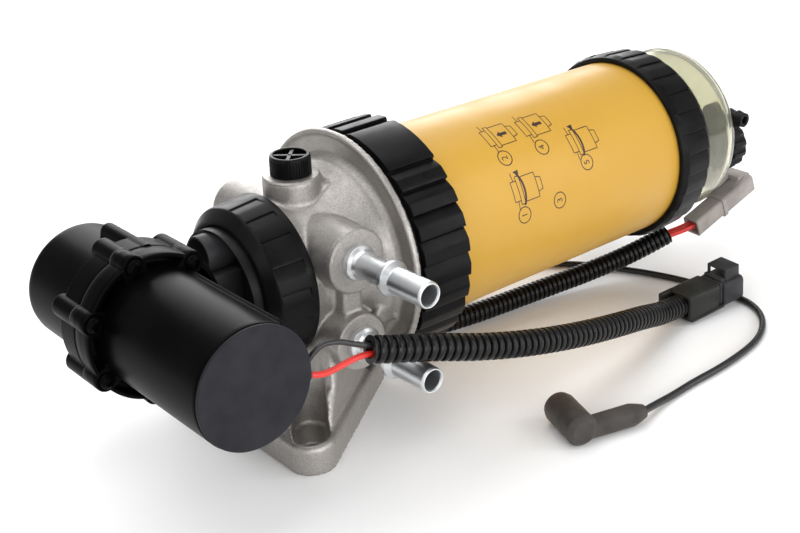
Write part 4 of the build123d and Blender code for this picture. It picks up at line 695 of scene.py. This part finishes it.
def stroke(points, width, closed=False):
    """A printed line: the run's two edges, each half a width to its side, as (right, up) quads."""
    points = np.array(points, float)
    ahead = np.roll(points, -1, 0) - points if closed else np.gradient(points, axis=0)
    if closed:
        ahead = ahead + points - np.roll(points, 1, 0)
    ahead /= np.linalg.norm(ahead, axis=1, keepdims=True)
    side = np.stack([-ahead[:, 1], ahead[:, 0]], -1) * width / 2
    edges = np.stack([points + side, points - side], 1)
    return edges.reshape(-1, 2), grid_faces(len(points), 2, wrap_rows=closed, wrap_cols=False)


def straight(a, b, width):
    """A printed straight line between two points, in short runs so that it follows the shell."""
    count = max(2, int(np.hypot(b[0] - a[0], b[1] - a[1]) / 1.5) + 1)
    t = np.linspace(0, 1, count)[:, None]
    return stroke(np.array(a) + t * (np.array(b) - np.array(a)), width)


class FILTERPUMP_OT_cartridge(bpy.types.Operator):
    """Enamelled cartridge shell with its printed step numbers and small fitting diagrams"""
    bl_idname = "filter_pump.cartridge"
    bl_label = "Cartridge and print"

    def execute(self, context):
        outline = eased([
            (91.0, CAN_R - 1, 0.2), (91.0, CAN_R, 0.6), (283.4, CAN_R, 0.6), (283.4, CAN_R - 1, 0.2)], 4)
        mesh_piece("cartridge_shell", [surface(turned("X", outline, 192), wrap_rows=True)], "yellow_paint",
                   "main", ("cartridge_can",))
        parts = []
        ring = np.linspace(0, tau, 40, endpoint=False)
        for _, x0, angle in NUMBER_PLACES:
            flat, faces = stroke(CIRCLE_R * np.stack([np.cos(ring), np.sin(ring)], -1), 0.6, closed=True)
            parts.append((on_can(flat, x0, angle), faces))
        for kind, x0, angle in DIAGRAM_PLACES:
            for flat, faces in diagram(kind):
                parts.append((on_can(flat * DIAGRAM_SCALE, x0, angle), faces))
        place_piece("step_diagrams", joined_mesh("print", parts), "print_ink", "main")
        for digit, x0, angle in NUMBER_PLACES:
            curve = bpy.data.curves.new("digit", "FONT")
            curve.body = digit
            curve.size = DIGIT_SIZE
            curve.align_x = "CENTER"
            curve.align_y = "CENTER"
            holder = linked("digit", curve)
            context.view_layer.update()
            text_mesh = bpy.data.meshes.new_from_object(holder)
            bpy.data.objects.remove(holder)
            flat = read_points(text_mesh)[:, :2]
            text_mesh.vertices.foreach_set("co", (on_can(flat, x0, angle) * MM).reshape(-1))
            text_mesh.update()
            text_mesh.materials.clear()
            place_piece("step_number_" + digit, text_mesh, "print_ink", "main")
        return {"FINISHED"}


def diagram(kind):
    """A small line drawing of a cartridge under its head, with an arrow or a turned band."""
    lines = []
    for a, b in (((-5, -6), (5, -6)), ((-5, -6), (-5, 2)), ((5, -6), (5, 2)), ((-5.6, 2), (5.6, 2)),
                 ((-5.6, 4), (5.6, 4)), ((-5.6, 2), (-5.6, 4)), ((5.6, 2), (5.6, 4)), ((-4, 4), (-4, 7)),
                 ((4, 4), (4, 7)), ((-4, 7), (4, 7)), ((-3, -6), (-2.4, -8.5)), ((3, -6), (2.4, -8.5)),
                 ((-2.4, -8.5), (2.4, -8.5)), ((-7.5, 5.4), (-4, 5.4)), ((4, 5.4), (7.5, 5.4))):
        lines.append(straight(a, b, 0.36))
    if kind == "lift":
        lines.append(straight((0, -4.4), (0, -1.2), 1.5))
        tip = np.array([[-1.7, -1.3], [1.7, -1.3], [0, 0.8], [0, 0.8]])
        lines.append((tip, np.array([[0, 1, 2, 3]])))
    else:
        turn = np.linspace(radians(200), radians(340), 12)
        lines.append(stroke(np.stack([6.6 * np.cos(turn), 3.4 + 2.6 * np.sin(turn)], -1), 1.0))
        tip = np.array([[5.0, 1.6], [7.6, 3.8], [7.9, 0.9], [7.9, 0.9]])
        lines.append((tip, np.array([[0, 1, 2, 3]])))
    return lines


class FILTERPUMP_OT_nipples(bpy.types.Operator):
    """Zinc plated hose nipples with their beads and bevelled ends"""
    bl_idname = "filter_pump.nipples"
    bl_label = "Hose nipples"

    def execute(self, context):
        for name, node, z in (("upper_nipple", "inlet_nipple", UPPER_PORT_H),
                              ("lower_nipple", "outlet_nipple", LOWER_PORT_H)):
            outline = eased([
                (-40, 5.2, 0), (-40, 8.0, 0.3), (-42, 8.0, 0.2), (-42, 6.4, 0.1), (-45, 6.4, 0.1),
                (-45, 8.0, 0.2), (-52, 8.0, 0), (-52, 9.3, 0.3), (-55.1, 9.3, 0.9), (-56.6, 7.6, 0.5),
                (-58.4, 6.8, 1.2), (-76.4, 6.8, 0.8), (-77.8, 9.1, 1.0), (-80.2, 9.1, 1.4),
                (-83.4, 6.8, 1.6), (-105.6, 6.8, 0.9), (-107, 6.2, 0.4), (-107, 5.7, 0.3), (-105.9, 5.2, 0.5)], 6)
            mesh_piece(name, [surface(turned("Y", outline, 72, (PORT_X, z)), wrap_rows=True)],
                       "plated_steel", "main", (node,), sharp_deg=50)
        return {"FINISHED"}


class FILTERPUMP_OT_bleed_screw(bpy.types.Operator):
    """Knurled bleed screw with crossed ribs in its hollow top"""
    bl_idname = "filter_pump.bleed_screw"
    bl_label = "Bleed screw"

    def execute(self, context):
        outline = eased([
            (146.3, 8.6, 0.5), (146.3, 10.4, 0.8), (143.9, 10.8, 0.4), (135.7, 10.8, 0.4),
            (135.7, 6.9, 0.4), (121.7, 6.9, 0.6), (121.7, 0, 0), (140.8, 0, 0), (140.8, 8.6, 0.6)], 4)
        grid = turned("Z", outline, 264, (PORT_X, 0.0))
        turn = np.linspace(0, tau, 264, endpoint=False)
        wave = np.clip(np.cos(turn * 44), -0.4, 0.6)
        side = ((outline[:, 1] > 10.2) & (outline[:, 0] < 145.2)).astype(float)[:, None]
        scale = 1 - side * (0.6 - wave) * 0.55 / 10.8
        grid[..., 0] = PORT_X + (grid[..., 0] - PORT_X) * scale
        grid[..., 1] *= scale
        parts = [surface(grid)]
        for angle in (45, -45):
            rib = eased([(-8.8, -0.9, 0), (8.8, -0.9, 0), (8.8, 0.9, 0), (-8.8, 0.9, 0)])
            parts.append(bar(rib, radians(angle), 140.6, 145.6))
        mesh_piece("bleed_screw_head", parts, "black_nylon", "bleed_screw", ("vent_plug",), sharp_deg=40)
        return {"FINISHED"}


def bar(section, angle, z0, z1):
    """Upright bar: a flat outline turned by an angle round the bleed screw's axis, with an eased top."""
    spun = np.stack([section[:, 0] * cos(angle) - section[:, 1] * sin(angle),
                     section[:, 0] * sin(angle) + section[:, 1] * cos(angle)], -1)
    rows = []
    for z, scale in ((z0, 0.0), (z0, 1.0), (z1 - 0.3, 1.0), (z1, 0.97), (z1, 0.0)):
        ring = spun * scale
        rows.append(np.concatenate([ring + np.array([PORT_X, 0.0]), np.full((len(ring), 1), z)], 1))
    return surface(np.stack(rows))


# Directions of the six screw lugs, from straight up towards +X, and the circle they stand on
LUG_TURNS = np.radians(90 - np.array([49.7, 103.8, 158.7, 210.1, 261.0, 312.0]))
LUG_CIRCLE, LUG_R = 35.2, 6.0
FLANGE_R = 37.5
REAR_R, REAR_END, REAR_EASE = 31.3, 63.0, 2.0  # rear barrel: radius, far end's y, rounding of its edge
MOTOR_R, MOTOR_BORE = 30.5, 27.5
SCREW_SEAT = -12.0  # y of the faces under the screw heads


def rounded_max(a, b, ease):
    """The larger of two heights, with a fillet as wide as ease where they cross."""
    share = np.clip(0.5 + 0.5 * (a - b) / ease, 0, 1)
    return b * (1 - share) + a * share + ease * share * (1 - share) * 0.5


def lug_reach(turn, turns, circle, radius):
    """Distance from the axis to the far side of round lugs, by angle: the ray cut of each circle.

    Beside a lug the reach falls steeply, so the lug gets a straight flank down to what carries it.
    """
    away = (turn[:, None] - turns[None, :] + pi) % tau - pi
    off = np.abs(circle * np.sin(away))
    reach = circle * np.cos(away) + np.sqrt(np.maximum(radius ** 2 - off ** 2, 0))
    reach -= 7 * np.maximum(off - radius, 0)
    return np.where(np.abs(away) < 1.2, reach, 0).max(axis=1)


def round_pump(y, radius, turn):
    """Rows of (y, radius), each row all round the pump axis, as points."""
    y, radius, turn = np.broadcast_arrays(y, radius, turn[None, :])
    return np.stack([PUMP_X + radius * np.sin(turn), y, AXIS_H + radius * np.cos(turn)], -1)


class FILTERPUMP_OT_pump(bpy.types.Operator):
    """Pump and motor housings, with their lugs and screws"""
    bl_idname = "filter_pump.pump"
    bl_label = "Pump and motor"

    def execute(self, context):
        turn = np.linspace(0, tau, 720, endpoint=False)
        # rear half: barrel, flange, screw columns and one long boss, the largest reach of them all round
        y = np.concatenate([
            np.linspace(0.8, 1.6, 5), np.linspace(3, 13.6, 6), np.linspace(14.2, 17, 15),
            np.linspace(17.6, 18.8, 3), np.linspace(19.1, 21, 10), np.linspace(23, 38, 6),
            np.linspace(38.6, 41, 8), np.linspace(44, REAR_END - REAR_EASE, 6),
            REAR_END - REAR_EASE + REAR_EASE * np.sin(np.linspace(0.2, pi / 2, 6))])
        into_edge = np.clip(y - REAR_END + REAR_EASE, 0, REAR_EASE)
        barrel = REAR_R + np.sqrt(np.maximum(REAR_EASE ** 2 - into_edge ** 2, 0)) - REAR_EASE
        flange = 31 + (FLANGE_R - 31) * (1 - ramp(y, 15.7, 1.6)) - 0.4 * ramp(1.4 - y, 0.2, 0.8)
        column = LUG_R - 1.5 * ramp(y, 19.2, 1.8)
        radius = np.maximum(barrel, flange)[:, None] * np.ones_like(turn)[None, :]
        lug = np.stack([lug_reach(turn, LUG_TURNS, LUG_CIRCLE, r) for r in column])
        lug -= (lug - 29) * ramp(y, 20.2, 0.9)[:, None]
        boss_r = 4.5 - 1.2 * ramp(y, 39.5, 1.4)
        boss = np.stack([lug_reach(turn, np.radians([10.0]), 33.8, r) for r in boss_r])
        boss -= (boss - 29) * ramp(y, 40.2, 0.9)[:, None]
        radius = rounded_max(rounded_max(radius, lug, 0.9), boss, 0.9)
        outside = round_pump(y[:, None], radius, turn)
        back = round_pump(np.full((4, 1), REAR_END), np.array([[28.4], [20], [9], [0]]), turn)
        front = round_pump(np.full((3, 1), 0.8), np.array([[0], [20], [36]]), turn)
        neck = rounded_box((-35.5, 0.8, AXIS_H - 14), (-19.7, 17, AXIS_H + 14), 1.2)
        mesh_piece("pump_housing_rear", [surface(np.concatenate([front, outside, back])), neck],
                   "pump_black", "main", ("pump_housing",), sharp_deg=50)

        # front half: barrel with a rail, then a trough between it and the flange's wall, filled at each lug
        away = (turn[:, None] - LUG_TURNS[None, :] + pi) % tau - pi
        off_rail = np.abs(MOTOR_R * np.sin(turn - radians(37.5)))
        rail = 1.5 * ramp(1.6 - off_rail, 0, 0.9) * (np.cos(turn - 0.65) > 0)
        ribs = ramp(0.7 - np.abs(np.abs(away).min(axis=1) - radians(12.5)) * 33, 0, 0.5)
        lugs = lug_reach(turn, LUG_TURNS, LUG_CIRCLE, LUG_R)
        reach = rounded_max(np.full_like(turn, FLANGE_R), lugs, 0.9)
        rows_y, rows_r = [], []

        def add_row(row_y, row_r):
            rows_y.append(row_y + 0 * turn)
            rows_r.append(row_r + 0 * turn)

        for y0, r0 in ((-94, 27.6), (-94, 30.0), (-93.8, 30.35), (-93.4, MOTOR_R)):
            add_row(y0, r0)
        for y0 in np.linspace(-91.5, -14, 14):
            add_row(y0, MOTOR_R + rail * ramp(-y0, 14, 1) * ramp(y0, -92.4, 1))
        for depth, r0 in ((-2.0, MOTOR_R), (-1.2, 30.65), (-0.5, 31.0), (0, 31.8), (0, 33.6), (-0.4, 34.6),
                          (-1.2, 35.2), (-2.2, 35.4), (-4.6, 35.4), (-6.5, 35.45), (-6.85, 35.6)):
            pad = (ramp(LUG_R + 0.4 - np.abs(r0 * np.sin(away)), 0, 0.5) * (np.cos(away) > 0)).max(axis=1)
            low = -5 + depth - (1.5 * ribs if depth > -5 else 0)
            add_row(np.minimum(SCREW_SEAT * pad + low * (1 - pad), low), r0)
        for share in np.linspace(0, 1, 12):
            r0 = 35.8 + (reach - 0.5 - 35.8) * share
            far = np.sqrt(np.maximum(r0[:, None] ** 2 + LUG_CIRCLE ** 2
                                     - 2 * r0[:, None] * LUG_CIRCLE * np.cos(away), 0)).min(axis=1)
            add_row(SCREW_SEAT - 0.3 * ramp(0.4 - np.abs(far - 5.2), 0, 0.3), r0)
        for y0, inset in ((-11.85, 0.2), (-11.5, 0), (-8, 0), (-4, 0), (-0.5, 0), (-0.15, 0.15), (0, 0.5)):
            add_row(y0, reach - inset)
        for y0, r0 in ((0, 30), (0, 8), (-8, 8), (-8, 27.4), (-40, MOTOR_BORE)):
            add_row(y0, r0)
        barrel = round_pump(np.stack(rows_y), np.stack(rows_r), turn)
        mesh_piece("motor_housing_front", [surface(barrel, wrap_rows=True)], "pump_black", "main",
                   ("motor_housing",), sharp_deg=50)

        # screws: domed heads with a six-sided recess
        around = np.linspace(0, tau, 48, endpoint=False)
        hexagon = 1.9 / np.cos((around % (pi / 3)) - pi / 6)
        rows = [(-13.2, 0 * around), (-13.2, 0.96 * hexagon), (-14.6, hexagon), (-15.05, hexagon + 0.3)]
        rows += [(-12.2 - 3.0 * cos(v), 4.3 * sin(v) + 0 * around) for v in np.linspace(0.6, pi / 2, 8)]
        rows += [(-11.9, 4.3 + 0 * around), (-11.5, 2.3 + 0 * around), (16, 2.3 + 0 * around),
                 (16, 0 * around)]
        parts = []
        for lug in LUG_TURNS:
            spot = np.array([PUMP_X + LUG_CIRCLE * sin(lug), 0, AXIS_H + LUG_CIRCLE * cos(lug)])
            grid = np.stack([np.stack([r * np.cos(around), np.full_like(around, v), r * np.sin(around)], -1)
                             for v, r in rows])
            parts.append(surface(grid + spot))
        mesh_piece("housing_screws_domed", parts, "pump_black", "main", ("housing_screws",), sharp_deg=40)
        return {"FINISHED"}


def arch(x0, x1, y, z, outer, inner, low_deg=-35.0, ease=0.5):
    """Open half tube along X: rows along its wall's section, an arc out, round the foot and an arc back."""
    sweep = np.radians(np.linspace(low_deg, 180 - low_deg, 40))
    rows = []
    for x, inset in ((x0, ease), (x0 + 0.3 * ease, 0.3 * ease), (x0 + ease, 0), (x1 - ease, 0), (x1, ease)):
        out, back = outer - inset, inner + inset
        ring = np.concatenate([np.stack([out * np.cos(sweep), out * np.sin(sweep)], -1),
                               np.stack([back * np.cos(sweep), back * np.sin(sweep)], -1)[::-1]])
        rows.append(np.concatenate([np.full((len(ring), 1), x), ring + (y, z)], 1))
    points = np.stack(rows)
    middle = (outer + inner) / 2
    spine = np.stack([middle * np.cos(sweep) + y, middle * np.sin(sweep) + z], -1)
    spine = np.concatenate([spine, spine[::-1]])
    ends = [np.concatenate([np.full((len(spine), 1), x), spine], 1) for x in (x0, x1)]
    return surface(np.concatenate([ends[0][None], points, ends[1][None]]))


class FILTERPUMP_OT_pump_base(bpy.types.Operator):
    """Moulded pump base: cup with a flared mouth, neck, side web and the arched duct over it"""
    bl_idname = "filter_pump.pump_base"
    bl_label = "Pump base"

    def execute(self, context):
        cup = eased([
            (-6, 0, 0), (-6, 27.4, 1.2), (-10.4, 28.3, 0.2), (-10.6, 28.9, 0.1), (-14.4, 31.9, 0.5),
            (-14.9, 32.9, 0.4), (-5, 33.0, 0.2), (-5, 38.2, 0.3), (-1, 38.2, 0.3), (-1, 29.7, 0),
            (5, 29.7, 0), (5, 27.3, 0), (8.6, 27.3, 0), (8.6, 29.7, 0), (11, 29.7, 0.3),
            (11, 24.1, 0.3), (0, 24.1, 0.5), (0, 0, 0)], 6)
        mesh_piece("pump_base_moulding", [surface(turned("X", cup, 160))], "black_plastic", "main",
                   ("pump_base",), sharp_deg=35)
        parts = [
            rounded_box((-19.7, 0.3, AXIS_H - 14), (-5.6, 16.7, AXIS_H + 14), 1.0),
            rounded_box((-22.0, -9.0, AXIS_H - 13), (-5.6, 1.0, AXIS_H + 13.2), 0.7),
            arch(-21.5, -5.6, 5.0, AXIS_H + 20.6, 10.2, 8.8, -60),
        ]
        mesh_piece("pump_neck", parts, "connector_shell", "main", sharp_deg=35)
        return {"FINISHED"}


def block(runs, corner, lift=(0.0, 0.0)):
    """Closed block along X, drawn in to its middle at both ends and lifted in Y and Z.

    Each run (x, half width, half height) is a rounded rectangle in Y and Z.
    """
    rows = []
    for x, half_w, half_h in runs:
        ease = min(corner, 0.9 * min(half_w, half_h))
        ring = eased([(-half_w, -half_h, ease), (half_w, -half_h, ease), (half_w, half_h, ease),
                      (-half_w, half_h, ease)], 6)
        rows.append(np.concatenate([np.full((len(ring), 1), x), ring], 1))
    ends = [np.broadcast_to(r.mean(axis=0), r.shape) for r in (rows[0], rows[-1])]
    return surface(np.stack([ends[0], *rows, ends[1]]) + (0, *lift))


class FILTERPUMP_OT_connector(bpy.types.Operator):
    """Power connector: hollow body, seal, shell and open latch bridge, and the sensor plug's wire seal"""
    bl_idname = "filter_pump.connector"
    bl_label = "Power connector"

    def execute(self, context):
        lie = Matrix.Translation(Vector(MOTOR_CONDUIT[-1])) @ Matrix.Rotation(radians(-5), 4, "Z") \
            @ Matrix.Rotation(radians(-4), 4, "Y")
        turn = np.array(lie.to_3x3())
        shift = np.array(lie.translation)

        def laid(part):
            points, faces = part
            return points @ turn.T + shift, faces

        body = [
            block([(3.0, 6.6, 5.6), (-1.4, 7.0, 6.0), (-2.0, 7.6, 6.6), (-2.0, 8.7, 7.7), (-1.4, 9.3, 8.3),
                   (-0.6, 9.5, 8.5), (22.4, 9.5, 8.5), (23.0, 9.0, 8.0), (23.0, 8.0, 7.0)], 2.4),
            block([(-1.0, 9.4, 0.5), (-0.4, 10.0, 0.9), (26.6, 10.0, 0.9), (27.0, 9.4, 0.5)], 0.8,
                  (0, -7.7)),
            block([(-9.5, 1.0, 3.4), (-8.7, 1.7, 4.2), (1.2, 1.7, 4.2), (2.0, 1.0, 3.4)], 1.1, (8.4, 3.4)),
        ]
        mesh_piece("power_connector_pins_shape", [laid(part) for part in body], "connector_body", "main",
                   ("power_connector_pins",), sharp_deg=50)
        seal = block([(22.6, 7.5, 6.5), (22.6, 8.4, 7.4), (23.6, 8.4, 7.4), (23.8, 8.0, 7.0),
                      (24.6, 8.0, 7.0), (24.8, 8.5, 7.5), (25.8, 8.5, 7.5), (26.0, 8.0, 7.0),
                      (27.4, 8.0, 7.0)], 2.0)
        mesh_piece("power_connector_seal", [laid(seal)], "seal_rubber", "main", sharp_deg=50)
        shell = [
            block([(27.0, 8.4, 6.6), (27.0, 9.3, 7.3), (27.4, 9.8, 7.8), (28.0, 10.0, 7.95),
                   (42.6, 10.0, 7.95), (43.2, 9.8, 7.7), (43.5, 9.3, 7.2), (43.5, 7.2, 5.4),
                   (43.2, 6.6, 4.8), (34.5, 6.5, 4.7)], 3.2, (0, -0.8)),
            block([(26.4, 6.6, 1.0), (27.0, 7.2, 1.5), (29.0, 7.2, 1.5), (30.4, 6.8, 0.7)], 0.9, (0, 7.8)),
            block([(30.0, 7.0, 0.5), (30.3, 7.4, 0.8), (41.7, 7.4, 0.8), (42.0, 7.0, 0.5)], 0.7, (0, 13.7)),
            block([(30.0, 0.6, 3.9), (30.3, 0.9, 4.0), (41.7, 0.9, 4.0), (42.0, 0.6, 3.9)], 0.6,
                  (-6.5, 10.2)),
            block([(30.0, 0.5, 3.9), (30.2, 0.8, 4.0), (31.3, 0.8, 4.0), (31.5, 0.5, 3.9)], 0.5,
                  (6.6, 10.2)),
            block([(40.3, 0.5, 3.9), (40.5, 0.8, 4.0), (41.8, 0.8, 4.0), (42.0, 0.5, 3.9)], 0.5,
                  (6.6, 10.2)),
        ]
        mesh_piece("power_connector_latch_shape", [laid(part) for part in shell], "connector_shell", "main",
                   ("power_connector_latch",), sharp_deg=50)
        seal = block([(47.8, 3.9, 3.9), (48.0, 4.5, 4.5), (49.2, 4.5, 4.5), (49.6, 4.0, 4.0)], 1.0)
        mesh_piece("sensor_plug_seal", [self.laid_along(seal, (372.0, -34.5, 44.6), (-46.0, 3.0, -17.0))],
                   "wire_seal", "main", sharp_deg=50)
        return {"FINISHED"}

    def laid_along(self, part, start, run):
        """A block made along X laid from a start point along a run, its Y kept level."""
        along_run = np.array(run, float) / np.linalg.norm(run)
        up = np.cross(along_run, (0.0, 1.0, 0.0))
        up /= np.linalg.norm(up)
        points, faces = part
        return points @ np.stack([along_run, np.cross(up, along_run), up]) + np.array(start), faces


class FILTERPUMP_OT_mouldings(bpy.types.Operator):
    """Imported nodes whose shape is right, with their edges rounded"""
    bl_idname = "filter_pump.mouldings"
    bl_label = "Mouldings"

    def execute(self, context):
        for node, slot_name, body, width in (  # the width is that of the rounding, in mm
                ("motor_cap", "motor_cap", "main", 0.3),
                ("drain_valve_body", "black_plastic", "main", 0.6),
                ("drain_knob", "black_plastic", "drain_control", 0.6),
                ("water_sensor", "sensor_grey", "main", 0.6),
                ("sensor_plug", "sensor_grey", "main", 0.6),
                ("elbow_boot", "boot_rubber", "main", 0.9),
                ("harness_splice", "black_plastic", "main", 0.8),
                ("lead_grommet", "seal_rubber", "main", 0.4)):
            eased_node(node, slot_name, body, width)
        return {"FINISHED"}


class FILTERPUMP_OT_bowl(bpy.types.Operator):
    """Clear sediment bowl, thick walled, with a rounded corner"""
    bl_idname = "filter_pump.bowl"
    bl_label = "Sediment bowl"

    def execute(self, context):
        outline = eased([
            (296.8, 50.4, 0.2), (296.8, 56.3, 0.3), (301.8, 56.3, 0.3), (301.8, 53.0, 0.6),
            (341.8, 53.0, 13.0), (341.8, 0, 0), (338.6, 0, 0), (338.6, 50.0, 10.5), (301, 50.0, 2)], 14)
        mesh_piece("bowl_shell", [surface(turned("X", outline, 160), wrap_rows=True)], "clear_bowl", "main",
                   ("sediment_bowl",), sharp_deg=60)
        return {"FINISHED"}


# Stage, in metres, degrees and watts
WORLD_STRENGTH = 0.42
LIGHTS = (  # name, place, size, power
    ("overhead", (0.0, 0.20, 1.30), (2.0, 1.1), 12.5),
    ("left strip", (-1.25, -0.35, 0.75), (0.35, 1.3), 3.0),
    ("right strip", (1.05, -1.05, 0.7), (0.45, 1.2), 6.0),
    ("back", (0.70, 1.15, 0.65), (1.4, 0.8), 17.0),
    ("front", (-0.10, -1.25, 0.34), (1.5, 0.6), 11.0),
)
LIGHT_AIM = Vector((0.10, -0.03, 0.06))
CAMERA_PLACE = Vector((-0.3302, -0.5397, 0.3788))  # fitted to the photo, as are its angles and lens
CAMERA_TURN, CAMERA_RISE, CAMERA_ROLL = radians(-38.8), radians(24.7), radians(-2.7)
CAMERA_LENS_MM = 60.67


class FILTERPUMP_OT_stage(bpy.types.Operator):
    """Pale floor, soft lights and the camera"""
    bl_idname = "filter_pump.stage"
    bl_label = "Floor, light and camera"

    def execute(self, context):
        scene = context.scene
        side = np.linspace(-4000.0, 4000.0, 9)
        x, y = np.meshgrid(side, side, indexing="ij")
        points = np.stack([x, y, np.full_like(x, -0.05)], -1)
        mesh = joined_mesh("floor", [surface(points, wrap_cols=False)])
        floor = linked("floor", mesh)
        material, tree, shader = new_finish("matt white sweep", linear("FAFAFA"), {"Roughness": 0.75})
        mottle(tree, shader, linear("F8F8F8"), linear("FBFBFB"), 3)
        mesh.materials.append(material)

        world = bpy.data.worlds.new("studio")
        scene.world = world
        world.use_nodes = True
        background = world.node_tree.nodes["Background"]
        background.inputs["Color"].default_value = (1, 1, 1, 1)
        background.inputs["Strength"].default_value = WORLD_STRENGTH
        scene.view_settings.view_transform = "Standard"
        for name, place, size, power in LIGHTS:
            lamp = bpy.data.lights.new(name, "AREA")
            lamp.shape = "RECTANGLE"
            lamp.size, lamp.size_y = size
            lamp.energy = power
            holder = linked(name, lamp)
            holder.location = place
            holder.rotation_euler = (LIGHT_AIM - Vector(place)).to_track_quat("-Z", "Y").to_euler()

        a, e, roll = CAMERA_TURN, CAMERA_RISE, CAMERA_ROLL
        back = Vector((sin(a) * cos(e), -cos(a) * cos(e), sin(e)))
        right0 = Vector((cos(a), sin(a), 0))
        up0 = back.cross(right0)
        right = cos(roll) * right0 + sin(roll) * up0
        up = -sin(roll) * right0 + cos(roll) * up0
        camera = bpy.data.cameras.new("photo view")
        camera.lens = CAMERA_LENS_MM
        camera.sensor_width = 36.0
        camera.clip_start = 0.02
        holder = linked("photo view", camera)
        place = Matrix((right, up, back)).transposed().to_4x4()
        place.translation = CAMERA_PLACE
        holder.matrix_world = place
        scene.camera = holder
        return {"FINISHED"}


class FILTERPUMP_PT_panel(bpy.types.Panel):
    """Lists the operators in the order they run"""
    bl_label = "Filter pump"
    bl_idname = "FILTERPUMP_PT_panel"
    bl_space_type = "VIEW_3D"
    bl_region_type = "UI"
    bl_category = "Filter pump"

    def draw(self, context):
        for operator in OPERATORS:
            self.layout.operator(operator.bl_idname)


OPERATORS = (
    FILTERPUMP_OT_finishes, FILTERPUMP_OT_casting, FILTERPUMP_OT_rings, FILTERPUMP_OT_cartridge,
    FILTERPUMP_OT_nipples, FILTERPUMP_OT_bleed_screw, FILTERPUMP_OT_pump, FILTERPUMP_OT_pump_base,
    FILTERPUMP_OT_connector, FILTERPUMP_OT_mouldings, FILTERPUMP_OT_bowl, FILTERPUMP_OT_cords,
    FILTERPUMP_OT_stage)
CLASSES = (FilterPumpColours, FilterPumpSizes, *OPERATORS, FILTERPUMP_PT_panel)


def register():
    for item in CLASSES:
        bpy.utils.register_class(item)
    bpy.types.Scene.filter_pump_colours = PointerProperty(type=FilterPumpColours)
    bpy.types.Scene.filter_pump_sizes = PointerProperty(type=FilterPumpSizes)


def unregister():
    del bpy.types.Scene.filter_pump_sizes
    del bpy.types.Scene.filter_pump_colours
    for item in reversed(CLASSES):
        bpy.utils.unregister_class(item)


def main():
    """Register the classes, then run every operator in order."""
    register()
    for operator in OPERATORS:
        group, call = operator.bl_idname.split(".")
        getattr(getattr(bpy.ops, group), call)()


if __name__ == "__main__":
    main()
